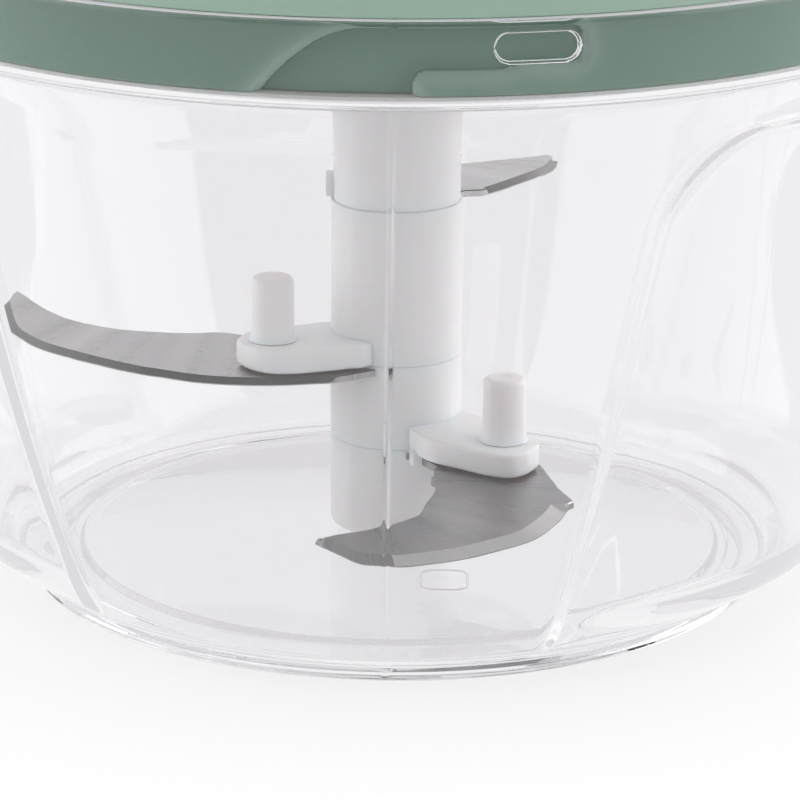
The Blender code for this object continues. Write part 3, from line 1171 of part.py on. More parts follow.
def build():
    """Make every piece, each on the axis of the body that it moves with."""
    for old in list(bpy.data.objects):
        bpy.data.objects.remove(old, do_unlink=True)
    make_bowl()
    make_pivot_pin()
    lid = make_axis("lid_axis", (0.0, 0.0, LEDGE_Z))
    column = make_axis("column_axis", (0.0, 0.0, COLUMN_BOTTOM))
    drum = make_axis("drum_axis", (0.0, 0.0, DRUM_LOW_Z))
    handle = make_axis("handle_axis", (0.0, HANDLE_IN_RADIUS, CORD_Z))
    make_column(column)
    make_skirt(lid)
    make_cover(lid)
    for k, azimuth in enumerate(COVER_SCREW_AZIMUTHS):
        centre = polar(COVER_SCREW_DISTANCE, azimuth)[:2]
        make_screw(f"lid_screw_{k + 1}", centre, DECK_LOW_Z - FIT_GAP, SCREW_LENGTH,
                   SCREW_RADIUS, SCREW_HEAD_RADIUS, lid)
    make_seal_and_plate(lid)
    make_bushing_and_spindle(lid)
    make_spring_cup(lid)
    make_spring(lid)
    make_eyelet(lid)
    make_cord_lead(lid)
    make_drum(drum)
    make_handle(handle)


build()
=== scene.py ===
# %% [markdown]
# # A pull cord food chopper
# A clear bowl stands on its foot ring. A green lid closes it with a bayonet:
# three lugs inside the bowl's collar run in three grooves of the lid's skirt.
# Under the lid hangs a white column with three curved blades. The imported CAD
# model gives every place and every joint, and this lesson dresses it. Lengths
# are in metres and azimuths in degrees, anticlockwise from +X seen from above.

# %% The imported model
import math

import bmesh
import bpy
import numpy as np
from mathutils import Matrix, Vector


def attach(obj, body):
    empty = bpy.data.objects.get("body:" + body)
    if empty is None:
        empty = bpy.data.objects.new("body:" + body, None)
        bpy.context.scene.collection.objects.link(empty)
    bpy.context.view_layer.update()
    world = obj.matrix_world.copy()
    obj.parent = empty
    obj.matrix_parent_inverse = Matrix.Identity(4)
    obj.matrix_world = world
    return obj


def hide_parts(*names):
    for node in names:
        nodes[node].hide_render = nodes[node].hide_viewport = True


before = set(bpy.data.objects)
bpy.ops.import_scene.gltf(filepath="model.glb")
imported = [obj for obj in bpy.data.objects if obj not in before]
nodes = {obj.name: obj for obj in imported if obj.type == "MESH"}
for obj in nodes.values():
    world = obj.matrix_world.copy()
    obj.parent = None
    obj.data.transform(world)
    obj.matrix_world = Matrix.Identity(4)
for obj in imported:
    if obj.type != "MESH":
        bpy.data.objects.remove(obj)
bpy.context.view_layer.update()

# %% [markdown]
# ## The camera
# The photograph was taken a little from above with a long lens, close enough
# that the object fills the frame and its top is cut off. The camera's place,
# tilt and lens come from lines on the object whose real places are known.

# %% Camera
CAMERA_PLACE = (0.0, -0.5, 0.1775)
CAMERA_TILT, CAMERA_TURN, CAMERA_ROLL = -0.3038, 0.0011, 0.0065
CAMERA_LENS = 179.28


def placed(name, data):
    """A new object with this data, linked into the scene."""
    made = bpy.data.objects.new(name, data)
    bpy.context.scene.collection.objects.link(made)
    return made


def aim_camera():
    """Makes the camera: its view direction from tilt and turn, then rolled about that direction."""
    ahead = Vector((math.sin(CAMERA_TURN) * math.cos(CAMERA_TILT),
                    math.cos(CAMERA_TURN) * math.cos(CAMERA_TILT), math.sin(CAMERA_TILT)))
    level = Vector((math.cos(CAMERA_TURN), -math.sin(CAMERA_TURN), 0.0))
    upright = level.cross(ahead)
    across = math.cos(CAMERA_ROLL) * level + math.sin(CAMERA_ROLL) * upright
    up = -math.sin(CAMERA_ROLL) * level + math.cos(CAMERA_ROLL) * upright
    data = bpy.data.cameras.new("camera")
    data.lens = CAMERA_LENS
    camera = placed("camera", data)
    camera.matrix_world = Matrix((
        (across.x, up.x, -ahead.x, CAMERA_PLACE[0]), (across.y, up.y, -ahead.y, CAMERA_PLACE[1]),
        (across.z, up.z, -ahead.z, CAMERA_PLACE[2]), (0.0, 0.0, 0.0, 1.0)))
    bpy.context.scene.camera = camera


aim_camera()
bpy.context.scene.view_settings.view_transform = "Standard"
print("camera aimed")

# %% [markdown]
# ## Shader maths
# A pattern in a material is a formula over the surface. A small class wraps a
# node's socket and overloads Python's operators, so a formula reads as one
# line and adds its Math nodes by itself. One method makes any other node, for
# the materials and for the room alike.


# %% A socket that can be calculated with
class Field:
    """A number that changes over a surface: a node's output with + - * and any Math node."""

    def __init__(self, owner, socket):
        self.owner, self.socket = owner, socket

    def math(self, operation, *values):
        """A Math node of this operation on this field and the other values."""
        inputs = dict(enumerate((self, *values)))
        return self.owner.node("ShaderNodeMath", {"operation": operation}, inputs)

    def __add__(self, other):
        return self.math("ADD", other)

    def __sub__(self, other):
        return self.math("SUBTRACT", other)

    def __mul__(self, other):
        return self.math("MULTIPLY", other)


# %% The node maker
class Nodes:
    """A node tree to which one method adds any node."""

    def __init__(self, tree):
        self.tree = tree

    def node(self, kind, settings, inputs, output=0):
        """Any node: its settings are set first, then its inputs, and one output comes back."""
        made = self.tree.nodes.new(kind)
        for key, value in settings.items():
            setattr(made, key, value)
        for key, value in inputs.items():
            if isinstance(value, Field):
                self.tree.links.new(value.socket, made.inputs[key])
            else:
                made.inputs[key].default_value = value
        return Field(self, made.outputs[output])

    def split(self, vector):
        """A vector's X, Y and Z as three fields."""
        first = self.node("ShaderNodeSeparateXYZ", {}, {"Vector": vector})
        return [Field(self, socket) for socket in first.socket.node.outputs]

    def ray(self, question):
        """What Light Path says of the ray, such as whether it is a shadow ray."""
        return self.node("ShaderNodeLightPath", {}, {}, question)


# %% A finish
class Finish(Nodes):
    """A material with one Principled shader, built up by formulas."""

    def __init__(self, name, colour, roughness, **constants):
        self.material = bpy.data.materials.new(name)
        self.material.use_nodes = True
        super().__init__(self.material.node_tree)
        self.shader = self.tree.nodes["Principled BSDF"]
        self.shader.inputs["Base Color"].default_value = (*colour, 1.0)
        self.shader.inputs["Roughness"].default_value = roughness
        for key, value in constants.items():
            self.shader.inputs[key.replace("_", " ")].default_value = value

    def place(self, scale=(1.0, 1.0, 1.0), turn=(0.0, 0.0, 0.0), source="Object"):
        """Object coordinates, or the UV map, scaled and turned for a pattern."""
        where = self.node("ShaderNodeTexCoord", {}, {}, source)
        return self.node("ShaderNodeMapping", {}, {"Vector": where, "Scale": scale,
                                                   "Rotation": turn})

    def noise(self, scale, detail=2.0, where=None):
        """Noise from 0 to 1, with that many cells in a unit of its place, by default a metre."""
        where = where or self.place()
        return self.node("ShaderNodeTexNoise", {}, {"Vector": where, "Scale": scale,
                                                    "Detail": detail})

    def blend(self, share, first, second):
        """A colour between two, by a share from 0 to 1."""
        settings = {"data_type": "RGBA"}
        inputs = {0: share, 6: (*first, 1.0), 7: (*second, 1.0)}
        return self.node("ShaderNodeMix", settings, inputs, 2)

    def principled(self):
        """The Principled shader itself, to be mixed with others."""
        return Field(self, self.shader.outputs[0])

    def mixed(self, share, first, second):
        """A mix of two shaders by a share from 0 to 1."""
        return self.node("ShaderNodeMixShader", {}, {0: share, 1: first, 2: second})

    def show(self, shader):
        """Puts this shader on the surface."""
        surface = self.tree.nodes["Material Output"].inputs["Surface"]
        self.tree.links.new(shader.socket, surface)

    def drive(self, socket, field):
        """Lets a field drive one of the shader's sockets."""
        self.tree.links.new(field.socket, self.shader.inputs[socket])

    def relief(self, height, depth):
        """Raises and lowers the surface by a field, through a Bump node."""
        bump = self.node("ShaderNodeBump", {}, {"Height": height, "Distance": depth,
                                                "Strength": 1.0})
        self.drive("Normal", bump)


def shade(value):
    """A colour given as 0 to 255 in a picture, as the shader's linear numbers."""
    part = np.asarray(value, float) / 255.0
    return tuple(np.where(part > 0.04045, ((part + 0.055) / 1.055) ** 2.4, part / 12.92))


def scaled(colour, factor):
    """A colour made lighter or darker by a factor, and never above white."""
    return tuple(min(1.0, part * factor) for part in colour)


print("shader helpers ready")

# %% [markdown]
# ## Clear plastic
# The bowl is a clear styrene moulding about 2 mm thick. Light bends at each of
# its skins, so the real look comes from a true glass shader on a wall with two
# skins. Such glass would throw a black shadow, so shadow rays meet a plain
# Transparent shader instead, mixed in by Light Path. A ray that is mirrored to
# and fro inside the wall would end in black where the renderer stops following
# it, so from its third mirroring on it meets the pale light of the room.

# %% Clear finish
MOST_MIRRORED, TRAPPED_LIGHT = 2.5, (0.74, 0.73, 0.75)
CLEAR_CELLS, FINE_CELLS, FINE_SHARE, CLEAR_RELIEF = 90.0, 700.0, 0.04, 0.00001
HAZE_CELLS, HAZE = 60.0, 0.004


def clear_finish(name, tint, roughness, shadow):
    """Clear plastic with a faint waviness, whose shadow is only a light tint."""
    clear = Finish(name, tint, roughness, Transmission_Weight=1.0, IOR=1.53)
    waves = clear.noise(CLEAR_CELLS, 1.0) + clear.noise(FINE_CELLS, 1.0) * FINE_SHARE
    clear.relief(waves, CLEAR_RELIEF)
    clear.drive("Roughness", clear.noise(HAZE_CELLS, 2.0) * HAZE + roughness)
    trapped = clear.ray("Glossy Depth").math("GREATER_THAN", MOST_MIRRORED)
    glow = clear.node("ShaderNodeEmission", {}, {"Color": (*TRAPPED_LIGHT, 1.0)})
    seen = clear.mixed(trapped, clear.principled(), glow)
    thin = clear.node("ShaderNodeBsdfTransparent", {}, {"Color": (*shadow, 1.0)})
    clear.show(clear.mixed(clear.ray("Is Shadow Ray"), seen, thin))
    return clear.material


CLEAR = clear_finish("clear_plastic", (0.914, 0.907, 0.920), 0.0, (0.98, 0.98, 0.98))
print("clear plastic")

# %% [markdown]
# ## Moulded plastics
# The lid is sage green with a satin skin, and the column is white. A moulded
# skin is never quite even: it has a fine grain, slight flow marks in its
# colour, and a gloss that varies over a few centimetres. The skirt's colour
# has painted light: a painted highlight along its grooves' edges and painted
# shade inside them, so its mesh carries a tone for every point, and the finish
# reads that tone.

# %% Moulded finish
FLOW_CELLS, GLOSS_CELLS, COARSE_CELLS, GRAIN_CELLS = 35.0, 420.0, 300.0, 2600.0
TONE_FLOW = 0.04


def moulded_finish(name, colour, roughness, grain, flow=0.03, **constants):
    """Satin moulded plastic: grain in the relief, slow changes in colour and gloss."""
    made = Finish(name, colour, roughness, **constants)
    slow = made.noise(FLOW_CELLS, 2.0)
    made.drive("Base Color", made.blend(slow, scaled(colour, 1.0 - flow),
                                        scaled(colour, 1.0 + flow)))
    gloss = made.noise(GLOSS_CELLS, 2.0) * 0.08 + slow * 0.05
    made.drive("Roughness", gloss + (roughness - 0.065))
    made.relief(made.noise(GRAIN_CELLS, 2.0) + made.noise(COARSE_CELLS, 1.0) * 0.6, grain)
    return made


def painted_light_finish(name, shade_colour, highlight_colour, roughness, grain):
    """A moulded finish whose colour runs from a painted shade colour to a painted highlight colour
    by the mesh's painted light tone, plus slow flow.
    """
    made = moulded_finish(name, shade_colour, roughness, grain)
    # the tone carries painted shade and a painted highlight
    tone = made.node("ShaderNodeAttribute", {"attribute_name": "tone"}, {}, "Fac")
    flow = (made.noise(FLOW_CELLS, 2.0) - 0.5) * TONE_FLOW
    made.drive("Base Color", made.blend(tone + flow, shade_colour, highlight_colour))
    return made


GREEN = moulded_finish("green_plastic", shade((151, 177, 162)), 0.42, 0.0000008,
                       Specular_IOR_Level=0.3).material
# the skirt: its green runs between a painted shade colour and a painted highlight colour
DEEP_GREEN = painted_light_finish("skirt_green_painted_light", shade((68, 125, 98)), shade((184, 216, 200)),
                          0.36, 0.0000008).material
WHITE = moulded_finish("white_plastic", shade((248, 247, 247)), 0.34, 0.000002, 0.012,
                       Subsurface_Weight=0.25, Subsurface_Scale=0.004).material
SILICONE = moulded_finish("silicone", shade((236, 236, 234)), 0.5, 0.000004, 0.01,
                          Subsurface_Weight=0.3, Subsurface_Scale=0.003).material
print("green, white and silicone")

# %% [markdown]
# ## Steel
# The blades are stamped from brushed sheet, and their edges are ground: fine
# straight scratches run across the bevel, which reflects another part of the
# room than the flat does. Flat and bevel are painted lighter or darker for each
# blade, a painted reflection, and the lower blade's bevel ends in a facet
# painted darker, a painted reflection of a dark part of the room. Small turned
# parts have a finer skin all over.

# %% Steel finishes
SCRATCHES = (60.0, 4000.0, 60.0)
BANDS, BAND_GAIN, BAND_BASE = (120.0, 8.0, 1.0), 4.0, 1.5
FLAT_DARKER, FLAT_LIGHTER = 0.74, 1.3
# TIP_PAINTED_DARKER paints a bevel's tip facet darker: a painted reflection
GRINDING, GROUND_DARKER, GROUND_LIGHTER, TIP_PAINTED_DARKER = (3800.0, 60.0, 1.0), 0.3, 1.18, 0.6


def brushed_steel(name, colour, roughness, turn):
    """Brushed sheet: noise drawn out to long scratches one way, and broad bands across it."""
    made = Finish(name, colour, roughness, Metallic=1.0)
    scratches = made.noise(1.0, 3.0, made.place(SCRATCHES, (0.0, 0.0, math.radians(turn))))
    bands = made.noise(1.0, 2.0, made.place(BANDS, source="UV")) * BAND_GAIN - BAND_BASE
    made.drive("Base Color", made.blend(scratches * 0.35 + bands * 0.65,
                                        scaled(colour, FLAT_DARKER), scaled(colour, FLAT_LIGHTER)))
    made.drive("Roughness", scratches * 0.1 + bands * 0.1 + (roughness - 0.1))
    made.relief(scratches, 0.000003)
    return made.material


def ground_steel(name, colour, roughness, dark_tip_from):
    """A ground bevel: scratches straight across its edge, and a facet painted darker from
    dark_tip_from on, a painted reflection.

    dark_tip_from is a length along the edge in metres, which is the UV map's first part.
    """
    made = Finish(name, colour, roughness, Metallic=1.0)
    scratches = made.noise(1.0, 2.0, made.place(GRINDING, source="UV"))
    # from dark_tip_from on the bevel is painted darker, a painted reflection
    tip = made.split(made.place(source="UV"))[0].math("GREATER_THAN", dark_tip_from)
    made.drive("Base Color", made.blend(scratches * 0.4 + 0.6 - tip * TIP_PAINTED_DARKER,
                                        scaled(colour, GROUND_DARKER),
                                        scaled(colour, GROUND_LIGHTER)))
    made.drive("Roughness", scratches * 0.2 + (roughness - 0.1))
    made.relief(scratches, 0.000006)
    return made.material


def turned_metal(name, colour, roughness):
    """A small turned or rolled part: an even skin with a fine grain."""
    made = Finish(name, colour, roughness, Metallic=1.0)
    grain = made.noise(1800.0, 2.0)
    made.drive("Roughness", grain * 0.12 + (roughness - 0.06))
    made.relief(grain, 0.000004)
    return made.material


BOLT_STEEL = turned_metal("plated_steel", shade((196, 194, 192)), 0.3)
SPRING_STEEL = turned_metal("spring_steel", shade((170, 172, 178)), 0.26)
BRASS = turned_metal("brass", shade((214, 178, 112)), 0.3)
print("steel and brass")

# %% [markdown]
# ## Cord
# The cord is braided: two sets of strands cross at a slant. The piece's own UV
# map runs round the cord and along it, so two slanted waves make the braid, and
# the hollows between strands are painted darker, a painted shade.

# %% Cord finish
STRANDS, STRAND_PITCH = 8.0, 420.0


def braided_cord(name, colour):
    """Crossed strands: the higher of two slanted waves is on top.

    wave = sin(2 pi (strands x around +- pitch x along)).
    """
    made = Finish(name, colour, 0.85, Sheen_Weight=0.3)
    around, along, _ = made.split(made.node("ShaderNodeTexCoord", {}, {}, "UV"))
    one = (around * STRANDS + along * STRAND_PITCH) * math.tau
    two = (around * STRANDS - along * STRAND_PITCH) * math.tau
    weave = one.math("SINE").math("MAXIMUM", two.math("SINE")) * 0.5 + 0.5
    # painted shade: the hollows between strands are darker
    made.drive("Base Color", made.blend(weave, scaled(colour, 0.72), colour))
    made.relief(weave, 0.00012)
    return made.material


CORD = braided_cord("braided_cord", shade((226, 226, 220)))
print("braided cord")

# %% [markdown]
# ## Surfaces
# Every new piece is a grid of points worked out with numpy: rows along one
# parameter and columns along the other. One maker turns grids into a mesh,
# merges what coincides at seams and poles, and turns the faces outwards.

# %% Grid to mesh
MERGE = 1e-6


class Grid:
    """Points (rows, columns, xyz), and which of the two directions close on themselves.

    along and across are the rows' and columns' places on the UV map, slots is
    a finish for each row of faces, and tone is a number for each
    point that carries painted shade and a painted highlight.
    """

    def __init__(self, points, wrap_rows=False, wrap_columns=True, along=None, across=None,
                 slots=None, tone=None):
        self.points = np.asarray(points, float)
        self.wrap_rows, self.wrap_columns = wrap_rows, wrap_columns
        self.along, self.across, self.slots, self.tone = along, across, slots, tone


def capped(rings, first, last):
    """The rings with a row at either end whose points all meet, which closes the end."""
    ends = [np.broadcast_to(point, rings[:1].shape) for point in (first, last)]
    return np.concatenate([ends[0], rings, ends[1]])


def grid_mesh(name, grids):
    """One mesh from several grids: a quad joins four neighbours, its UV runs on past a seam."""
    spots, corners, places, slots, start = [], [], [], [], 0
    for grid in grids:
        rows, columns = grid.points.shape[:2]
        r, c = np.meshgrid(np.arange(rows if grid.wrap_rows else rows - 1),
                           np.arange(columns if grid.wrap_columns else columns - 1), indexing="ij")
        r, c = r.ravel(), c.ravel()
        row = np.stack([r, r, r + 1, r + 1], axis=1)
        column = np.stack([c, c + 1, c + 1, c], axis=1)
        along = np.arange(rows + 1) / rows if grid.along is None else np.asarray(grid.along)
        across = (np.arange(columns + 1) / columns if grid.across is None
                  else np.asarray(grid.across))
        places.append(np.stack([across[column], along[row]], axis=-1).reshape(-1, 2))
        corners.append((row % rows) * columns + column % columns + start)
        slots.append(np.zeros(len(r), int) if grid.slots is None else np.asarray(grid.slots)[r])
        spots.append(grid.points.reshape(-1, 3))
        start += rows * columns
    spots, corners = np.concatenate(spots), np.concatenate(corners)
    mesh = bpy.data.meshes.new(name)
    mesh.vertices.add(len(spots))
    mesh.vertices.foreach_set("co", spots.ravel())
    mesh.loops.add(corners.size)
    mesh.loops.foreach_set("vertex_index", corners.ravel())
    mesh.polygons.add(len(corners))
    mesh.polygons.foreach_set("loop_start", np.arange(len(corners)) * 4)
    mesh.polygons.foreach_set("material_index", np.concatenate(slots))
    mesh.update()
    # the tone attribute carries painted shade and a painted highlight
    if grids[0].tone is not None:
        tones = np.concatenate([np.ravel(grid.tone) for grid in grids])
        mesh.attributes.new("tone", "FLOAT", "POINT").data.foreach_set("value", tones)
    mesh.uv_layers.new(name="UVMap").data.foreach_set("uv", np.concatenate(places).ravel())
    return mesh


def closed_mesh(name, grids):
    """The grids' mesh with what coincides merged and the faces turned outwards."""
    mesh = grid_mesh(name, grids)
    shape = bmesh.new()
    shape.from_mesh(mesh)
    bmesh.ops.remove_doubles(shape, verts=shape.verts, dist=MERGE)
    bmesh.ops.recalc_face_normals(shape, faces=shape.faces)
    shape.to_mesh(mesh)
    shape.free()
    return mesh


def smoothed(mesh, sharp):
    """Smooth shading, with a sharp edge where two faces meet at more than this angle."""
    mesh.shade_smooth()
    mesh.set_sharp_from_angle(angle=math.radians(sharp))


def finish_piece(name, grids, body, materials, replaced=(), sharp=32.0):
    """A finished piece that rides on its CAD body and stands for the nodes it replaces."""
    mesh = closed_mesh(name, grids)
    smoothed(mesh, sharp)
    for material in materials if isinstance(materials, (list, tuple)) else [materials]:
        mesh.materials.append(material)
    piece = placed(name, mesh)
    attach(piece, body)
    if replaced:
        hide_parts(*replaced)
    print(f"{name}: {len(mesh.polygons)} faces")
    return piece


# %% Profiles
def rounded(corners, radii, steps=5):
    """A polyline with its corners rounded by a quadratic curve.

    The curve leaves both sides where an arc of the given radius would touch them:
    start x (1 - t)^2 + 2 x corner x t (1 - t) + end x t^2.
    """
    corners = np.asarray(corners, float)
    out = [corners[0]]
    for k in range(1, len(corners) - 1):
        before, here, after = corners[k - 1], corners[k], corners[k + 1]
        into, away = before - here, after - here
        room = min(np.linalg.norm(into), np.linalg.norm(away)) * 0.49
        into, away = into / np.linalg.norm(into), away / np.linalg.norm(away)
        half = math.acos(np.clip(into @ away, -1.0, 1.0)) / 2
        reach = min(radii[k] / max(math.tan(half), 1e-6), room)
        if reach < 1e-7:
            out.append(here)
            continue
        turn = np.linspace(0.0, 1.0, steps)[:, None]
        start, end = here + into * reach, here + away * reach
        out.extend(start * (1 - turn) ** 2 + 2 * here * turn * (1 - turn) + end * turn ** 2)
    out.append(corners[-1])
    return np.array(out)


def closed_rounded(corners, radii, steps=5):
    """The same for a closed outline, whose first corner is rounded too."""
    corners = list(corners)
    radii = list(radii) if isinstance(radii, (list, tuple)) else [radii] * len(corners)
    around = rounded([corners[-1]] + corners + [corners[0]], [0.0] + radii + [0.0], steps)
    return around[1:-1]


def turned(profile, segments=160, wrap_rows=False, centre=(0.0, 0.0)):
    """Spins (radius, height) points about an upright axis: x = r cos a, y = r sin a, z = height."""
    profile = np.asarray(profile, float)
    angle = np.linspace(0.0, math.tau, segments, endpoint=False)
    radius, height = profile[:, :1], profile[:, 1:]
    points = np.stack([centre[0] + radius * np.cos(angle), centre[1] + radius * np.sin(angle),
                       height + 0.0 * angle], axis=-1)
    return Grid(points, wrap_rows)


def smooth(value):
    """0 below 0, 1 above 1, and 3v2 - 2v3 between: a soft step."""
    value = np.clip(value, 0.0, 1.0)
    return value * value * (3.0 - 2.0 * value)


def polar(radius, azimuth, height=None):
    """Points at a radius and an azimuth: x = r cos a, y = r sin a, z = the height, if any."""
    angle = np.radians(azimuth)
    parts = [radius * np.cos(angle), radius * np.sin(angle)]
    if height is not None:
        parts.append(height + 0.0 * parts[0])
    return np.stack(parts, axis=-1)


def smooth_through(points, count):
    """Catmull-Rom: each span is a cubic through its two points, with the neighbours' slopes."""
    points = np.asarray(points, float)
    padded = np.vstack([2 * points[0] - points[1], points, 2 * points[-1] - points[-2]])
    place = np.linspace(0.0, len(points) - 1.0, count)
    span = np.minimum(place.astype(int), len(points) - 2)
    t = (place - span)[:, None]
    p0, p1, p2, p3 = (padded[span + k] for k in range(4))
    return 0.5 * (2 * p1 + (p2 - p0) * t + (2 * p0 - 5 * p1 + 4 * p2 - p3) * t ** 2
                  + (3 * p1 - p0 - 3 * p2 + p3) * t ** 3)


def outward(outline):
    """The unit normal at every point of a closed outline: its direction turned to the right."""
    ahead = np.roll(outline, -1, axis=0) - np.roll(outline, 1, axis=0)
    ahead /= np.linalg.norm(ahead, axis=1)[:, None]
    return np.stack([ahead[:, 1], -ahead[:, 0]], axis=-1)


print("surface helpers ready")

# %% [markdown]
# ## The bowl
# The bowl is one moulding: foot ring, floor, a wall that opens quickly near the
# floor, two raised pads for the hands, a ledge, and a collar with three lugs
# inside. It could be many parts, but clear plastic shows every inner boundary,
# so it is one closed skin: a profile that runs from under the floor up the
# outside, over the rim and down the inside, carried round the axis. Its
# columns follow the slanting borders of the pads, which are given as azimuths:
# start and end at the pad's foot, then start and end at its top.

# %% Bowl sizes
FOOT_RADIUS, FOOT_INNER, FOOT_HEIGHT = 0.0484, 0.0450, 0.0018
FLOOR_LOW, FLOOR_TOP, WALL = 0.0016, 0.0034, 0.0019
BODY_BASE, BODY_TOP, BODY_CURVE = 0.04815, 0.0675, 0.55
LEDGE, RIM = 0.0763, 0.0862
SKIRT, SKIRT_LOW = 0.0677, 0.0774
COLLAR, COLLAR_INNER = 0.0702, 0.0682
PADS = ((-69.8, 54.0, -61.4, 48.0), (132.7, 224.5, 138.0, 216.0))
PAD_LOW, PAD_HIGH, PAD_CORNER = 0.0034, 0.0703, 0.0120
PAD_STEP, PAD_STEP_WIDTH, PAD_BULGE = 0.0012, 0.0012, (0.0055, 0.0014)
PAD_RISE, INNER_FOOT = 0.0055, 0.0058
LUGS, LUG_HALF, LUG_ROUND = (-76.9, 43.1, 163.1), 0.0032, 0.0018
LUG_MIDDLE, LUG_DEPTH, LUG_SIDE = 0.0828, 0.0014, 0.00030
SEAM_HEIGHT, SEAM_WIDTH = 0.00009, 0.00032
SPAN_COLUMNS = (7, 40, 7, 38, 7, 30, 7, 24, 18)
SEAM_COLUMNS = (-1.1, -0.7, -0.45, -0.25, 0.25, 0.45, 0.7, 1.1)
LUG_COLUMNS, LUG_REACH, LUG_ROWS, LEAST_STEP = 100, 4.4, 45, 0.07


def body_radius(height):
    """The wall's outer radius: base + (top - base) x share of the height to the power 0.55."""
    share = np.clip((height - FOOT_HEIGHT) / (LEDGE - FOOT_HEIGHT), 0.0, 1.0)
    return BODY_BASE + (BODY_TOP - BODY_BASE) * share ** BODY_CURVE


def seam_azimuth(height):
    """The mould's parting line at the front, which leans a little."""
    return 269.5 - 0.8 * (1.0 - height / LEDGE)


def border_knots(height):
    """Azimuths at a height: start, start + step, end - step, end of each pad, then the seam."""
    height = min(max(height, PAD_LOW), PAD_HIGH)
    share = (height - PAD_LOW) / (PAD_HIGH - PAD_LOW)
    over = max(height - (PAD_HIGH - PAD_CORNER), 0.0)
    inset = PAD_CORNER - math.sqrt(max(PAD_CORNER ** 2 - over ** 2, 0.0))
    around = body_radius(height)
    turn, step = math.degrees(inset / around), math.degrees(PAD_STEP_WIDTH / around)
    knots = []
    for low_start, low_end, top_start, top_end in PADS:
        start = low_start + (top_start - low_start) * share + turn
        end = low_end + (top_end - low_end) * share - turn
        knots += [start, start + step, end - step, end]
    return np.array(knots + [seam_azimuth(height), knots[0] + 360.0])


# %% Bowl columns
def bowl_columns():
    """Azimuths at the pads' top: close on the borders, the seam and the lugs, wide elsewhere."""
    knots = border_knots(PAD_HIGH)
    parts = [np.linspace(a, b, n, endpoint=False)
             for a, b, n in zip(knots[:-1], knots[1:], SPAN_COLUMNS)]
    beside = np.linspace(-LUG_REACH, LUG_REACH, LUG_COLUMNS)
    parts += [(centre + beside - knots[0]) % 360.0 + knots[0] for centre in LUGS]
    parts.append(knots[8] + np.array(SEAM_COLUMNS))
    every = np.unique(np.round(np.concatenate(parts), 4))
    return every[np.concatenate([[True], np.diff(every) > LEAST_STEP])]


# %% Bowl profile
def bowl_profile():
    """Rows of (radius, height, share of the pads, is outside) from under the floor to its top."""
    under = rounded([(0.0, FLOOR_LOW), (FOOT_INNER, FLOOR_LOW), (FOOT_INNER, 0.0),
                     (FOOT_RADIUS, 0.0), (FOOT_RADIUS, 0.0013), (FOOT_RADIUS - 0.00075, 0.00185),
                     (body_radius(0.0026), 0.0026)],
                    (0, 0.0004, 0.0004, 0.0007, 0.0002, 0.0002, 0), 5)
    spread = np.linspace(0.0, 1.0, 40) ** 1.6
    lift = np.unique(np.round(np.concatenate([
        0.0030 + (LEDGE - 0.0017 - 0.0030) * spread,
        np.linspace(PAD_LOW - 0.0003, PAD_LOW + 0.0008, 9),
        np.linspace(PAD_HIGH - 0.0115, PAD_HIGH - 0.0014, 12),
        np.linspace(PAD_HIGH - 0.0008, PAD_HIGH + 0.0008, 9)]), 6))
    outside = np.column_stack([body_radius(lift), lift])
    top = body_radius(LEDGE - 0.0017)
    flare = rounded([(top, LEDGE - 0.0017), (top + 0.0004, LEDGE - 0.0006),
                     (COLLAR, LEDGE - 0.0001), (COLLAR, RIM), (COLLAR_INNER, RIM),
                     (COLLAR_INNER, RIM - 0.0009)],
                    (0, 0.0006, 0.0003, 0.0006, 0.0006, 0), 5)[1:]
    lug_rows = LUG_MIDDLE + np.linspace(1.1, -1.1, LUG_ROWS) * LUG_ROUND
    inner = rounded([(COLLAR_INNER, LUG_MIDDLE - 0.0030), (COLLAR_INNER, LEDGE + 0.0008),
                     (SKIRT, LEDGE), (BODY_TOP - WALL, LEDGE),
                     (body_radius(LEDGE - 0.0015) - WALL, LEDGE - 0.0015)],
                    (0, 0.0004, 0.0003, 0.0005, 0), 4)
    down = lift[(lift < LEDGE - 0.0020) & (lift > 0.0060)][::-1]
    inside = np.column_stack([body_radius(down) - WALL, down])
    foot = body_radius(INNER_FOOT) - WALL
    floor = rounded([(foot, INNER_FOOT), (foot - 0.0014, 0.0036), (0.0461, 0.0029),
                     (0.0432, 0.0029), (0.0429, 0.0026), (0.0418, 0.0027), (0.0412, FLOOR_TOP),
                     (0.0400, FLOOR_TOP), (0.0200, FLOOR_TOP), (0.0, FLOOR_TOP)],
                    (0, 0.0018, 0.0016, 0.0002, 0.0002, 0.0003, 0.0005, 0, 0, 0), 6)
    lug_band = np.column_stack([np.full(LUG_ROWS, COLLAR_INNER), lug_rows])
    parts = [under, outside, flare, lug_band, inner, inside, floor]
    padded = [False, True, False, False, False, True, False]
    outer = [True, True, True, False, False, False, False]
    rows = np.concatenate(parts)
    sizes = [len(part) for part in parts]
    gate = smooth((rows[:, 1] - PAD_LOW + 0.0002) / 0.0020)
    gate *= 1.0 - smooth((rows[:, 1] - PAD_HIGH + 0.0006) / 0.0012)
    return rows, gate * np.repeat(padded, sizes), np.repeat(outer, sizes)


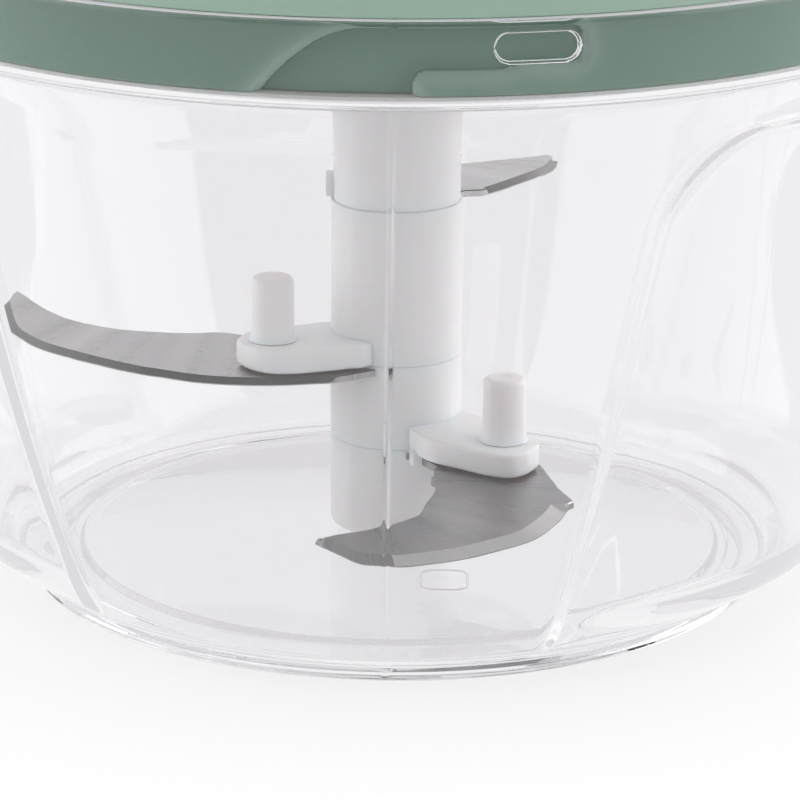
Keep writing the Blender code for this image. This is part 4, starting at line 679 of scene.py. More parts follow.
# %% Bowl surface
def bowl_grid():
    """radius = profile + pad x share + seam ridge - lug, at the columns' azimuths for each height.

    A pad stands out by its step at the border, and by step + (bulge - step) x
    rise x (1 - (1 - inside)^3) further in. rise goes softly from 0 at the pad's
    foot to 1, so the foot ring shows below the bulge. The step is only outside,
    so the wall is thicker there. A lug is a bar with round ends: its mask is a
    soft step of the distance to the bar's middle line.
    """
    rows, share, outer = bowl_profile()
    columns = bowl_columns()
    base = border_knots(PAD_HIGH)
    azimuth = np.empty((len(rows), len(columns)))
    push = np.zeros_like(azimuth)
    rise = smooth((rows[:, 1] - np.where(outer, PAD_LOW, INNER_FOOT)) / PAD_RISE)
    for k, (radius, height) in enumerate(rows):
        knots = border_knots(height) if LEDGE - 0.0018 > height and radius > FOOT_INNER else base
        azimuth[k] = np.interp(columns, base, knots)
        level = min(max((height - PAD_LOW) / (PAD_HIGH - PAD_LOW), 0.0), 1.0)
        bulge = PAD_BULGE[0] + (PAD_BULGE[1] - PAD_BULGE[0]) * level
        for start, start_in, end_in, end in (knots[0:4], knots[4:8]):
            spot = np.clip((azimuth[k] - start_in) / (end_in - start_in), 0.0, 1.0)
            inside = 1.0 - np.abs(2.0 * spot - 1.0)
            edge = smooth((azimuth[k] - start) / (start_in - start))
            edge = edge * smooth((end - azimuth[k]) / (end - end_in))
            step = PAD_STEP * outer[k]
            push[k] += edge * (step + (bulge - step) * rise[k] * (1.0 - (1.0 - inside) ** 3))
    height = rows[:, 1:2]
    radius = rows[:, :1] + push * share[:, None]
    away = np.radians(azimuth - seam_azimuth(height)) * radius
    ridge = SEAM_HEIGHT * np.exp(-(away / SEAM_WIDTH) ** 2)
    ridged = outer[:, None] & (height > 0.0001) & (rows[:, :1] > FOOT_INNER)
    radius = radius + ridge * (ridged & (rows[:, :1] < COLLAR - 0.0003))
    on_collar = ((rows[:, 0] == COLLAR_INNER) & ~outer)[:, None]
    for centre in LUGS:
        aside = np.radians((azimuth - centre + 180.0) % 360.0 - 180.0) * COLLAR_INNER
        gap = np.hypot(np.maximum(np.abs(aside) - LUG_HALF, 0.0), height - LUG_MIDDLE) - LUG_ROUND
        radius = radius - LUG_DEPTH * smooth(-gap / LUG_SIDE) * on_collar
    return Grid(polar(radius, azimuth, height))


finish_piece("bowl_clear", [bowl_grid()], "bowl", CLEAR, ["bowl"], sharp=60.0)

# %% [markdown]
# The floor carries a small raised ring, left by the mould where the plastic
# was fed in. It is a rounded square outline with a half round section.


# %% Gate mark on the floor
def swept_ring(outline, section):
    """A section (out, up) carried along a closed outline, square to it at every point."""
    flat = outline[:, None, :] + outward(outline)[:, None, :] * section[None, :, :1]
    height = np.broadcast_to(section[None, :, 1:], flat.shape[:2] + (1,))
    return Grid(np.concatenate([flat, height], axis=-1), wrap_rows=True)


def gate_mark():
    """A ring of 0.4 mm by 0.15 mm along a rounded square, sunk a little into the floor."""
    middle, half = np.array([0.0063, -0.0202]), np.array([0.0030, 0.0036])
    corners = [middle + half * np.array(sign) for sign in ((-1, -1), (1, -1), (1, 1), (-1, 1))]
    wide, tall, sunk = 0.0002, 0.00015, FLOOR_TOP - 0.00005
    turn = np.linspace(0.0, math.pi, 9)
    arc = np.column_stack([wide * np.cos(turn), FLOOR_TOP + tall * np.sin(turn)])
    return swept_ring(closed_rounded(corners, 0.0020, 10),
                      np.vstack([arc, [(-wide, sunk), (wide, sunk)]]))


finish_piece("bowl_gate_mark", [gate_mark()], "bowl", CLEAR)

# %% [markdown]
# ## The lid's skirt
# The green skirt hangs inside the collar. Each of its three grooves has a wide
# mouth with a ramp that rises to the left, and a narrow lane to the right where
# the lug ends. A groove could be cut with a Boolean, but its soft edges catch
# the light, so the skirt's skin is pushed in instead: the depth follows a
# quarter round of the distance to the groove's outline on the unrolled skirt.
# The tone follows that distance too: a painted highlight just outside, painted shade inside.

# %% Skirt sizes
SKIRT_INNER = 0.0649
DECK_LOW, DECK_TOP, DECK_HOLE = 0.0865, 0.0887, 0.0110
GROOVE_DEPTH, GROOVE_EDGE = 0.0017, 0.0011
GROOVE_TOP, LANE_FLOOR, LOCK_FLOOR = 0.08475, 0.08005, 0.0807
# painted light on the skirt: SKIRT_TONE is its own colour's share, GROOVE_SHADE how far painted
# shade reaches into a groove, the edge values a painted highlight outside it
SKIRT_TONE, GROOVE_SHADE, EDGE_HIGHLIGHT, EDGE_HIGHLIGHT_WIDTH = 0.20, 0.0030, 0.9, 0.0008
GROOVE_FIRST, GROOVE_APART, SIDE_ROWS = -90.0, 120.0, 50


# %% Groove outline
def groove_outline():
    """The groove on the unrolled skirt, as (azimuth x radius, height).

    The corners are the ramp, which rises by 1 - (1 - share)^2, then the ceiling,
    the lock, the lane and the mouth.
    """
    ramp = [(-13.4 + 10.2 * share, SKIRT_LOW + (GROOVE_TOP - SKIRT_LOW) * (1 - (1 - share) ** 2))
            for share in np.linspace(0.0, 1.0, 12)]
    rest = [(17.8, GROOVE_TOP), (17.8, LOCK_FLOOR), (11.7, LOCK_FLOOR), (10.1, LANE_FLOOR),
            (1.5, LANE_FLOOR), (1.5, SKIRT_LOW - 0.003), (-15.0, SKIRT_LOW - 0.003)]
    points = np.array(ramp + rest)
    points[:, 0] = np.radians(points[:, 0]) * SKIRT
    radii = [0.0] * len(ramp) + [0.0015, 0.0015, 0.0004, 0.0008, 0.0016, 0.0, 0.0]
    return closed_rounded([tuple(p) for p in points], radii, 8)


def depth_inside(points, outline):
    """Signed distance to a closed outline, above 0 inside it.

    It is the distance to the nearest side, and a point is inside where a line
    drawn from it crosses the sides an odd number of times.
    """
    start, end = outline, np.roll(outline, -1, axis=0)
    side = end - start
    length = np.maximum((side ** 2).sum(-1), 1e-16)
    nearest = np.full(points.shape[:-1], 1.0)
    crossed = np.zeros(points.shape[:-1], int)
    for a, b, s, size in zip(start, end, side, length):
        along = np.clip(((points - a) @ s) / size, 0.0, 1.0)[..., None]
        nearest = np.minimum(nearest, np.linalg.norm(points - a - along * s, axis=-1))
        level = (a[1] > points[..., 1]) != (b[1] > points[..., 1])
        reach = a[0] + (points[..., 1] - a[1]) * s[0] / (s[1] if abs(s[1]) > 1e-12 else 1e-12)
        crossed += level & (points[..., 0] < reach)
    return np.where(crossed % 2 == 1, nearest, -nearest)


# %% Skirt surface
def skirt_grid():
    """radius = profile - groove depth x (1 - sqrt(1 - near^2)), a quarter round.

    near is 1 inside the groove and falls to 0 over the round's width outside it.
    tone = skirt's tone x (1 - e^(-distance / shade)) inside, a painted shade, and
    outside it is the skirt's tone + highlight x e^(-distance / width), a painted highlight.
    """
    azimuth = np.sort(np.concatenate([part + GROOVE_FIRST + GROOVE_APART * k for k in range(3)
                                      for part in (np.linspace(-15.0, 20.5, 190),
                                                   np.linspace(21.2, 104.2, 60))]))
    heights = np.linspace(SKIRT_LOW, DECK_LOW - 0.0012, SIDE_ROWS)
    start = rounded([(SKIRT_INNER, SKIRT_LOW), (SKIRT, SKIRT_LOW), (SKIRT, SKIRT_LOW + 0.001)],
                    (0, 0.0003, 0), 5)
    side = np.column_stack([np.full(SIDE_ROWS, SKIRT), heights])[3:]
    rest = rounded([(SKIRT, DECK_LOW - 0.001), (SKIRT, DECK_TOP), (DECK_HOLE, DECK_TOP),
                    (DECK_HOLE, DECK_LOW), (SKIRT_INNER, DECK_LOW),
                    (SKIRT_INNER, SKIRT_LOW + 0.001)],
                   (0, 0.0003, 0.0002, 0.0002, 0.0006, 0), 4)
    rows = np.concatenate([start[:-1], side, rest])
    half = GROOVE_APART / 2
    unrolled = np.radians((azimuth - GROOVE_FIRST + half) % GROOVE_APART - half) * SKIRT
    spots = np.stack(np.broadcast_arrays(unrolled[None, :], rows[:, 1:2]), axis=-1)
    inside = depth_inside(spots, groove_outline())
    near = np.clip(1.0 + inside / GROOVE_EDGE, 0.0, 1.0)
    carved = 1.0 - np.sqrt(1.0 - near ** 2)
    on_side = (rows[:, 0] > SKIRT - 0.0006) & (rows[:, 1] < DECK_LOW)
    radius = rows[:, :1] - GROOVE_DEPTH * carved * on_side[:, None]
    # painted shade inside a groove, a painted highlight along its outside edge
    lit = np.where(inside > 0.0, -SKIRT_TONE * np.exp(-np.abs(inside) / GROOVE_SHADE),
                   EDGE_HIGHLIGHT * np.exp(-np.abs(inside) / EDGE_HIGHLIGHT_WIDTH))
    tone = SKIRT_TONE + lit * on_side[:, None]
    return Grid(polar(radius, azimuth[None, :], rows[:, 1:2]), wrap_rows=True, tone=tone)


finish_piece("lid_skirt_green", [skirt_grid()], "lid", DEEP_GREEN, ["lid_skirt"], sharp=40.0)

# %% [markdown]
# ## The lid's cover
# The cover is a low dome over the cord drum. The pull handle sits in a pocket
# at the back, so the dome's shell gets a block welded in and a hole cut out of
# it. Booleans on two closed skins do that, and are applied at once.

# %% Cover sizes
COVER, COVER_WALL, COVER_LOW, COVER_TOP = 0.0700, 0.0020, 0.0865, 0.1104
COVER_SIDE = 0.0120
DOME = ((1.0, 0.0), (0.985, 0.26), (0.940, 0.52), (0.86, 0.72), (0.72, 0.86), (0.45, 0.965),
        (0.0, 1.0))
POCKET, POCKET_HALF, POCKET_LOW, POCKET_TALL = 0.0530, 37.0, 0.0906, 0.0120
POCKET_WALL, POCKET_FLOOR = 0.0024, 0.0016


def dome_curve(radius, low, rise, count):
    """A smooth curve through the dome's points, which are shares of its radius and its rise."""
    return smooth_through([(radius * a, low + rise * b) for a, b in DOME], count)


# %% Cover and its pocket
def cover_shell():
    """The dome's closed shell: outer curve down the side, round the lower edge, and back inside."""
    low = COVER_LOW + COVER_SIDE
    outer = dome_curve(COVER, low, COVER_TOP - low, 40)[::-1]
    inner = dome_curve(COVER - COVER_WALL, low, COVER_TOP - COVER_WALL - low, 30)
    edge = rounded([(COVER, low - 0.001), (COVER, COVER_LOW), (COVER - COVER_WALL, COVER_LOW),
                    (COVER - COVER_WALL, low - 0.001)], (0, 0.0005, 0.0003, 0), 6)
    outer[0, 0] = inner[-1, 0] = 0.0
    return turned(np.vstack([outer, edge, inner]), 220)


def curved_block(inner, outer, half, low, high, count=48, middle=90.0):
    """A block between two radii, two heights and two azimuths, closed at both ends."""
    azimuth = middle + np.linspace(-half, half, count)
    corner = [(inner, low), (outer, low), (outer, high), (inner, high)]
    loop = np.stack([polar(radius, azimuth, height) for radius, height in corner], axis=1)
    centre = loop.mean(axis=1, keepdims=True)
    return Grid(capped(loop, centre[:1], centre[-1:]))


def carve(piece, steps):
    """Applies Booleans in turn: each step is an operation and the grid of a form, removed again."""
    for number, (operation, grid) in enumerate(steps):
        form = f"{piece.name}_form_{number}"
        other = placed(form, closed_mesh(form, [grid]))
        modifier = piece.modifiers.new("carve", "BOOLEAN")
        modifier.operation, modifier.solver, modifier.object = operation, "EXACT", other
        made = bpy.data.meshes.new_from_object(
            piece.evaluated_get(bpy.context.evaluated_depsgraph_get()))
        piece.modifiers.clear()
        piece.data = made
        bpy.data.objects.remove(other)
    smoothed(piece.data, 30.0)
    print(f"{piece.name}: {len(piece.data.polygons)} faces after {len(steps)} Booleans")


cover = finish_piece("lid_cover_green", [cover_shell()], "lid", GREEN, ["lid_cover"])
block_half = POCKET_HALF + math.degrees(POCKET_WALL / POCKET)
carve(cover, [
    ("UNION", curved_block(POCKET - POCKET_WALL, COVER - COVER_WALL / 2, block_half,
                           POCKET_LOW - POCKET_FLOOR, POCKET_LOW + POCKET_TALL + 0.0008)),
    ("DIFFERENCE", curved_block(POCKET, COVER + 0.002, POCKET_HALF, POCKET_LOW,
                                POCKET_LOW + POCKET_TALL)),
])

# %% [markdown]
# ## The handle
# The grip is a curved bar with soft edges that fills the pocket. Its section is
# a rounded rectangle carried along an arc, drawn in at both ends. A round plug
# closes the hole through which the cord was knotted.

# %% Handle
GRIP_IN, GRIP_OUT, GRIP_HALF = 0.0546, 0.0696, 33.0
GRIP_LOW, GRIP_HIGH, GRIP_ROUND = 0.0909, 0.1019, 0.0022
GRIP_END, END_STEPS = 0.0018, (0.0001, 0.0005, 0.0011, 0.0018)
CORD_HEIGHT, PLUG_RADIUS, PLUG_BED, PLUG_FACE = 0.09615, 0.0030, 0.0675, 0.0691


def grip_grid():
    """Section = rounded rectangle shrunk towards its middle near the ends, carried along the arc.

    It shrinks by round x (1 - sqrt(1 - (1 - distance to the end / round)^2)).
    """
    corners = [(GRIP_IN, GRIP_LOW), (GRIP_OUT, GRIP_LOW), (GRIP_OUT, GRIP_HIGH),
               (GRIP_IN, GRIP_HIGH)]
    section = closed_rounded(corners, [0.0012, GRIP_ROUND, GRIP_ROUND, 0.0012], 8)
    middle = np.array([(GRIP_IN + GRIP_OUT) / 2, (GRIP_LOW + GRIP_HIGH) / 2])
    from_end = np.degrees(np.array(END_STEPS) / GRIP_OUT)
    azimuth = np.concatenate([[-GRIP_HALF], -GRIP_HALF + from_end,
                              np.linspace(-GRIP_HALF + 1.6, GRIP_HALF - 1.6, 70),
                              GRIP_HALF - from_end[::-1], [GRIP_HALF]])
    gap = (GRIP_HALF - np.abs(azimuth)) * math.radians(1.0) * GRIP_OUT / GRIP_END
    inset = GRIP_END * (1.0 - np.sqrt(1.0 - (1.0 - np.clip(gap, 0.0, 1.0)) ** 2))
    half = section - middle
    scale = 1.0 - inset[:, None, None] / np.abs(half).max(axis=0)[None, None, :]
    loop = middle + half[None] * scale
    points = polar(loop[..., 0], 90.0 + azimuth[:, None], loop[..., 1])
    centre = points.mean(axis=1, keepdims=True)
    return Grid(capped(points, centre[:1], centre[-1:]))


grip = finish_piece("handle_grip_green", [grip_grid()], "handle", GREEN, ["handle_grip"])


def laid_along_y(profile):
    """Spins a profile of (radius, distance) about the cord's line, which runs along +Y."""
    grid = turned(profile, 40)
    x, y, z = grid.points[..., 0], grid.points[..., 1], grid.points[..., 2]
    grid.points = np.stack([x, z, CORD_HEIGHT - y], axis=-1)
    return grid


carve(grip, [
    ("DIFFERENCE", laid_along_y([(0.0, 0.0670), (PLUG_RADIUS + 0.0003, 0.0670),
                                 (PLUG_RADIUS + 0.0003, 0.0720), (0.0, 0.0720)])),
    ("DIFFERENCE", laid_along_y([(0.0, 0.0500), (0.0015, 0.0500), (0.0019, 0.0551),
                                 (0.0015, 0.0556), (0.0015, PLUG_BED), (0.0, PLUG_BED)])),
])
plug = rounded([(0.0, PLUG_BED), (PLUG_RADIUS, PLUG_BED), (PLUG_RADIUS, PLUG_FACE),
                (0.0, PLUG_FACE)], (0, 0.0002, 0.0004, 0), 5)
finish_piece("handle_plug_green", [laid_along_y(plug)], "handle", GREEN, ["handle_plug"])

# %% [markdown]
# ## Seal and under plate
# A pale silicone ring closes the gap between skirt and ledge, and a white plate
# covers the mechanism from below. Both are plain turned rings with soft edges.

# %% Seal and plate
SEAL_IN, SEAL_OUT, SEAL_REST, SEAL_TOP = 0.0626, 0.0646, LEDGE + 0.0003, LEDGE + 0.0057
seal = closed_rounded([(SEAL_IN, SEAL_REST), (SKIRT - 0.0001, SEAL_REST),
                       (SKIRT - 0.0001, SKIRT_LOW - 0.00006), (SEAL_OUT, SKIRT_LOW - 0.00006),
                       (SEAL_OUT, SEAL_TOP), (SEAL_IN, SEAL_TOP)],
                      [0.0004, 0.0002, 0.0002, 0.0001, 0.0006, 0.0006])
finish_piece("lid_seal_ring", [turned(seal, 200, True)], "lid", SILICONE, ["lid_seal"])
PLATE_LOW, PLATE_FACE, PLATE_TOP = 0.0790, 0.0808, 0.0862
PLATE_OUT, PLATE_HOLE, PLATE_RIM, PLATE_LIP = 0.0623, 0.0088, 0.0023, 0.0020
plate = closed_rounded([(PLATE_HOLE, PLATE_LOW), (PLATE_OUT, PLATE_LOW), (PLATE_OUT, PLATE_TOP),
                        (PLATE_OUT - PLATE_RIM, PLATE_TOP), (PLATE_OUT - PLATE_RIM, PLATE_FACE),
                        (PLATE_HOLE + PLATE_LIP, PLATE_FACE), (PLATE_HOLE + PLATE_LIP, PLATE_TOP),
                        (PLATE_HOLE, PLATE_TOP)], 0.0004)
finish_piece("lid_under_plate", [turned(plate, 200, True)], "lid", WHITE, ["under_plate"])

# %% [markdown]
# ## The column
# Four white sleeves are stacked on a core. Three of them carry an arm at their
# lower end. Each sleeve is turned with softened ends, so the joints between
# them show as fine lines. An arm is a plate whose outline was measured from the
# photograph: its sides are upright and its edges round. An outline is given as
# the arm's reach, then shares of that reach with degrees from the arm's azimuth.

# %% Column sizes
COLUMN_BOTTOM, LOWER_HUB, MIDDLE_HUB, UPPER_HUB = 0.0047, 0.01695, 0.0281, 0.0486
COLUMN_TOP = 0.0796
COLUMN, COLUMN_TOP_RADIUS, BORE = 0.0086, 0.00825, 0.0039
ARM_TALL, ARM_EDGE, JOINT, BORE_EDGE = 0.0032, 0.0005, 0.00002, 0.0001
SHORT_ARM = (0.0217, (
    (0.32, -36.0), (0.42, -35.7), (0.613, -23.9), (0.876, -15.5), (0.945, -10.6), (0.995, -5.5),
    (1.0, -1.3), (0.986, 4.4), (0.954, 10.5), (0.899, 15.4), (0.820, 19.5), (0.742, 22.7),
    (0.618, 28.8), (0.521, 35.2), (0.445, 43.0), (0.32, 43.5)))
LONG_ARM = (0.0249, (
    (0.28, -33.5), (0.385, -33.0), (0.51, -29.6), (0.606, -25.4), (0.755, -18.2), (0.871, -14.6),
    (0.960, -11.2), (1.0, -8.1), (1.004, -4.6), (0.992, -1.0), (0.940, 6.5), (0.791, 13.5),
    (0.478, 26.9), (0.36, 36.8), (0.28, 38.0)))


def traced(shape, azimuth):
    """An outline's (x, y) points: share x reach, at azimuth + degrees."""
    reach, shares = shape
    share, angle = np.array(shares).T
    return polar(share * reach, azimuth + angle)


# %% Arms and sleeves
def arm_grid(shape, azimuth, low):
    """The outline, moved inwards along its normal where the upper and lower edges are round."""
    corners = traced(shape, azimuth)
    outline = smooth_through(np.vstack([corners, corners[:1]]), 90)[:-1]
    turn = np.linspace(0.0, math.pi / 2, 5)
    inset = np.concatenate([ARM_EDGE * (1 - np.sin(turn)), ARM_EDGE * (1 - np.cos(turn))])
    level = np.concatenate([low + ARM_EDGE * (1 - np.cos(turn)),
                            low + ARM_TALL - ARM_EDGE * (1 - np.sin(turn))])
    flat = outline[None] - outward(outline)[None] * inset[:, None, None]
    rings = np.concatenate([flat, np.broadcast_to(level[:, None, None], flat.shape[:2] + (1,))], -1)
    middle = polar(shape[0] * 0.6, azimuth)
    return Grid(capped(rings, (*middle, low), (*middle, low + ARM_TALL)))


def sleeve_grid(low, high, radius, foot=0.00012):
    """A turned sleeve with softened edges, of which the lower outer one may be rounder."""
    profile = closed_rounded([(BORE, low), (radius, low), (radius, high), (BORE, high)],
                             [BORE_EDGE, foot, 0.00012, BORE_EDGE], 6)
    return turned(profile, 120, True)


def key_grid(azimuth, low):
    """The key that sits in the blade's notch: a small curved block under the arm."""
    return curved_block(COLUMN - 0.0004, COLUMN + 0.0028, 4.75, low - 0.0014, low + 0.0006, 10,
                        azimuth - 28.75)


ARMS = {"lower": (LONG_ARM, 315.0, LOWER_HUB, MIDDLE_HUB - JOINT, COLUMN),
        "middle": (SHORT_ARM, 203.0, MIDDLE_HUB, UPPER_HUB - JOINT, COLUMN),
        "upper": (SHORT_ARM, 83.0, UPPER_HUB, COLUMN_TOP, COLUMN_TOP_RADIUS)}
for name, (shape, azimuth, low, high, radius) in ARMS.items():
    grids = [sleeve_grid(low, high, radius), arm_grid(shape, azimuth, low), key_grid(azimuth, low)]
    if name == "upper":
        grids.append(curved_block(radius - 0.0006, radius + 0.0010, 8.0, low + 0.0003,
                                  low + ARM_TALL, 10, azimuth + 97.0))
    finish_piece(f"{name}_hub_white", grids, "column", WHITE, [f"{name}_hub"])
finish_piece("bottom_sleeve_white", [sleeve_grid(COLUMN_BOTTOM, LOWER_HUB - JOINT, COLUMN,
                                                 foot=0.0012)],
             "column", WHITE, ["bottom_sleeve"])

# %% [markdown]
# ## The posts
# A post stands on each arm. Its stem goes through arm and blade and is staked
# below, like a rivet. The top has a soft edge and a slight dish.


# %% Posts
def post_grid(low, azimuth, distance):
    """A turned post: stake, stem, foot with a small fillet, tapering shaft, round top, dish."""
    seat, stake = low + ARM_TALL + 0.0002, low - 0.0015
    top = seat + 0.0083
    profile = rounded([(0.0, stake - 0.0008), (0.0015, stake - 0.0008), (0.0024, stake),
                       (0.0016, stake), (0.0016, seat - 0.0003), (0.0032, seat - 0.0001),
                       (0.00283, seat + 0.0003), (0.00273, top), (0.0009, top),
                       (0.0006, top - 0.00012), (0.0, top - 0.00012)],
                      (0, 0.0004, 0.0002, 0, 0, 0.0001, 0.0003, 0.0013, 0.0001, 0.0001, 0), 7)
    return turned(profile, 64, centre=tuple(polar(distance, azimuth)))


for name, distance in (("lower", 0.0196), ("middle", 0.0173), ("upper", 0.0173)):
    azimuth, low = ARMS[name][1:3]
    finish_piece(f"{name}_post_white", [post_grid(low, azimuth, distance)], "column", WHITE,
                 [f"{name}_post"])

# %% [markdown]
# ## The blades
# The three blades differ in outline and in height. Each is a strip between its
# leading and its trailing edge. Its section has a flat top, a bevel ground down
# to a thin land along the leading edge, and a flat underside. The bevel has its
# own finish, so every face of the strip knows which one it takes. A blade is
# given by its reach, the share of its length where the bevel begins, the
# bevel's width, both edges as traced shares and degrees, and how far its tip
# rises from which share on. Its shades are the flat's and the bevel's, painted
# lighter or darker for each blade as a painted reflection, with the length
# along the edge from which the bevel is painted dark, also a painted reflection.

# %% Blade outlines
BLADE_THICK, EDGE_LAND, BLADE_ROOT = 0.0009, 0.00015, 0.0089
BLADE_COLUMNS, BEVEL_RUN_IN, NO_DARK_TIP = 150, 0.012, 1.0
BLADES = {
    "middle": (0.0561, 0.11, 0.0009, (
        (0.12, 50.0), (0.160, 47.5), (0.246, 32.6), (0.298, 24.3), (0.359, 17.1), (0.436, 8.7),
        (0.502, 1.9), (0.558, -4.3), (0.617, -9.6), (0.682, -15.2), (0.753, -20.4), (0.833, -25.3),
        (0.882, -28.5), (0.921, -31.2), (0.959, -35.7), (0.992, -39.7), (0.998, -42.0)), (
        (0.12, -34.0), (0.27, -37.5), (0.345, -40.5), (0.435, -42.2), (0.507, -38.6),
        (0.600, -36.8), (0.696, -37.0), (0.783, -38.8), (0.857, -41.0), (0.913, -42.6),
        (0.963, -44.0), (0.999, -44.4)), (0.0018, 0.82)),
    "lower": (0.04975, 0.425, 0.0020, (
        (0.14, 35.0), (0.211, 30.0), (0.311, 23.0), (0.392, 15.0), (0.451, 10.5), (0.538, 2.4),
        (0.624, -3.0), (0.708, -6.0), (0.718, -8.0), (0.781, -14.0), (0.867, -22.0),
        (0.914, -29.0), (0.956, -35.0), (0.982, -40.0), (1.0, -44.0), (0.992, -47.0),
        (0.982, -50.0), (0.916, -54.0), (0.860, -58.0)), (
        (0.14, -36.0), (0.221, -28.0), (0.309, -24.5), (0.318, -26.7), (0.363, -29.2),
        (0.394, -31.7), (0.416, -30.9), (0.474, -32.6), (0.524, -34.7), (0.586, -37.5),
        (0.669, -40.0), (0.721, -44.0), (0.751, -47.0), (0.785, -50.0), (0.833, -55.0),
        (0.868, -57.0)), (0.0, 1.0)),
    "upper": (0.0313, 0.23, 0.0008, (
        (0.24, -60.0), (0.325, -55.0), (0.402, -57.5), (0.531, -51.7), (0.672, -46.7),
        (0.805, -43.5), (0.888, -41.2), (0.952, -39.0), (0.987, -37.3)), (
        (0.22, 50.0), (0.298, 44.0), (0.51, 28.0), (0.66, 12.0), (0.687, 0.0), (0.665, -9.0),
        (0.663, -16.5), (0.813, -25.9), (0.907, -30.0), (1.0, -32.7), (0.998, -35.0)), (0.0, 1.0)),
}
# painted reflections: each blade's flat and bevel get their own colour for what they reflect, and
# the lower blade's bevel is painted darker from 0.0658 m on
BLADE_REFLECTION_SHADES = {"middle": ((178, 176, 176), (92, 91, 91), NO_DARK_TIP),
                "lower": ((144, 142, 143), (206, 204, 203), 0.0658),
                "upper": ((200, 198, 198), (128, 126, 126), NO_DARK_TIP)}


def walked(points):
    """How far along a line each point lies, in metres."""
    steps = np.linalg.norm(np.diff(points, axis=0), axis=1)
    return np.concatenate([[0.0], np.cumsum(steps)])


def even_line(corners, count):
    """A smooth line through the corners, cut into equal steps of its length."""
    line = smooth_through(corners, 12 * len(corners))
    far = walked(line)
    place = np.linspace(0.0, far[-1], count)
    return np.column_stack([np.interp(place, far, line[:, k]) for k in range(2)]), place


# %% Blade surface
def blade_grid(reach, azimuth, hub_low, ground_from, bevel_width, leading, trailing, lift):
    """Lines along the strip: rear low, front low, land, bevel top and rear top.

    Past lift[1] of its reach the tip rises by lift[0] x (share of the rest)^2.
    """
    front, along = even_line(traced((reach, leading), azimuth), BLADE_COLUMNS)
    back, _ = even_line(traced((reach, trailing), azimuth), BLADE_COLUMNS)
    for line in (front, back):
        radius = np.linalg.norm(line, axis=1)[:, None]
        line *= np.maximum(radius, BLADE_ROOT) / radius
    top = hub_low - 0.0003
    base = top - BLADE_THICK
    width = np.maximum(np.linalg.norm(back - front, axis=1), 1e-6)
    ground = smooth((along / along[-1] - ground_from) / BEVEL_RUN_IN)
    bevel = np.maximum(np.minimum(bevel_width, width * 0.6) * ground, EDGE_LAND)
    inset = front + (back - front) * (bevel / width)[:, None]
    drop = EDGE_LAND + (BLADE_THICK - 2 * EDGE_LAND) * ground

    def raised(points, height):
        past = np.linalg.norm(points, axis=1) / reach - lift[1]
        past = np.clip(past, 0.0, None) / max(1.0 - lift[1], 1e-3)
        return np.column_stack([points, height + lift[0] * past ** 2])

    rings = np.stack([raised(back, base), raised(front, base), raised(front, top - drop),
                      raised(inset, top), raised(back, top)])
    ends = rings.mean(axis=0)[[0, -1]]
    rings = np.concatenate([np.broadcast_to(ends[:1], (5, 1, 3)), rings,
                            np.broadcast_to(ends[1:], (5, 1, 3))], axis=1)
    along = np.concatenate([[along[0]], along, [along[-1]]])
    return Grid(rings, wrap_rows=True, wrap_columns=False, across=along,
                along=[0.0, 0.0, 0.0008, 0.004, 0.006, 0.006], slots=[0, 0, 1, 0, 0])


for name, (reach, ground_from, bevel, leading, trailing, lift) in BLADES.items():
    azimuth, hub_low = ARMS[name][1:3]
    # the flat's and bevel's colours are painted reflections
    flat_reflection_shade, bevel_reflection_shade, dark_tip_from = BLADE_REFLECTION_SHADES[name]
    flat = brushed_steel(f"{name}_blade_flat", shade(flat_reflection_shade), 0.3, azimuth + 20.0)
    ground = ground_steel(f"{name}_blade_bevel", shade(bevel_reflection_shade), 0.32, dark_tip_from)
    grid = blade_grid(reach, azimuth, hub_low, ground_from, bevel, leading, trailing, lift)
    finish_piece(f"{name}_blade_steel", [grid], "column", [flat, ground], [f"{name}_blade"],
                 sharp=6.0)

# %% [markdown]
# ## The cord
# The cord's winding, its run to the eyelet and the knotted end are tubes along
# their routes. Hidden parts keep their CAD shape and get their finish.


# %% Tubes
def tube_grid(route, radius):
    """A circle carried along a route and square to it, with one of its axes always level."""
    route = np.asarray(route, float)
    ahead = np.gradient(route, axis=0)
    ahead /= np.linalg.norm(ahead, axis=1)[:, None]
    side = np.cross(ahead, (0.0, 0.0, 1.0))
    side /= np.linalg.norm(side, axis=1)[:, None]
    up = np.cross(side, ahead)
    turn = np.linspace(0.0, math.tau, 20, endpoint=False)[:, None]
    ring = np.cos(turn) * side[:, None, :] + np.sin(turn) * up[:, None, :]
    points = route[:, None, :] + ring * radius
    far = walked(route)
    along = np.concatenate([[0.0], far, [far[-1]]])
    return Grid(capped(points, route[0], route[-1]), along=along)


# %% Cord pieces
CORD_RADIUS, LEAD_RADIUS, EYELET_IN, EYELET_OUT = 0.0011, 0.0171, 0.0503, 0.0543
WINDING_TURNS, WINDING_PITCH, WINDING_LAYERS = 2.4, 0.0017, ((0.0124, 1.0), (0.0146, -1.0))
turns = np.linspace(0.0, WINDING_TURNS, 180)
layers = [tube_grid(np.column_stack([
    radius * np.cos(sign * math.tau * turns), radius * np.sin(sign * math.tau * turns),
    CORD_HEIGHT + (turns - WINDING_TURNS / 2) * WINDING_PITCH * sign]), CORD_RADIUS * 0.98)
    for radius, sign in WINDING_LAYERS]
finish_piece("cord_winding_turns", layers, "drum", CORD, ["cord_winding"])
bend = EYELET_IN - 0.004
away = 90.0 - math.degrees(math.acos(LEAD_RADIUS / bend))
first = polar(LEAD_RADIUS, away)
lead = smooth_through([(first[0], first[1], CORD_HEIGHT),
                       (first[0] / 2, (first[1] + bend) / 2, CORD_HEIGHT),
                       (0.0, bend, CORD_HEIGHT), (0.0, EYELET_IN, CORD_HEIGHT),
                       (0.0, EYELET_OUT, CORD_HEIGHT)], 70)
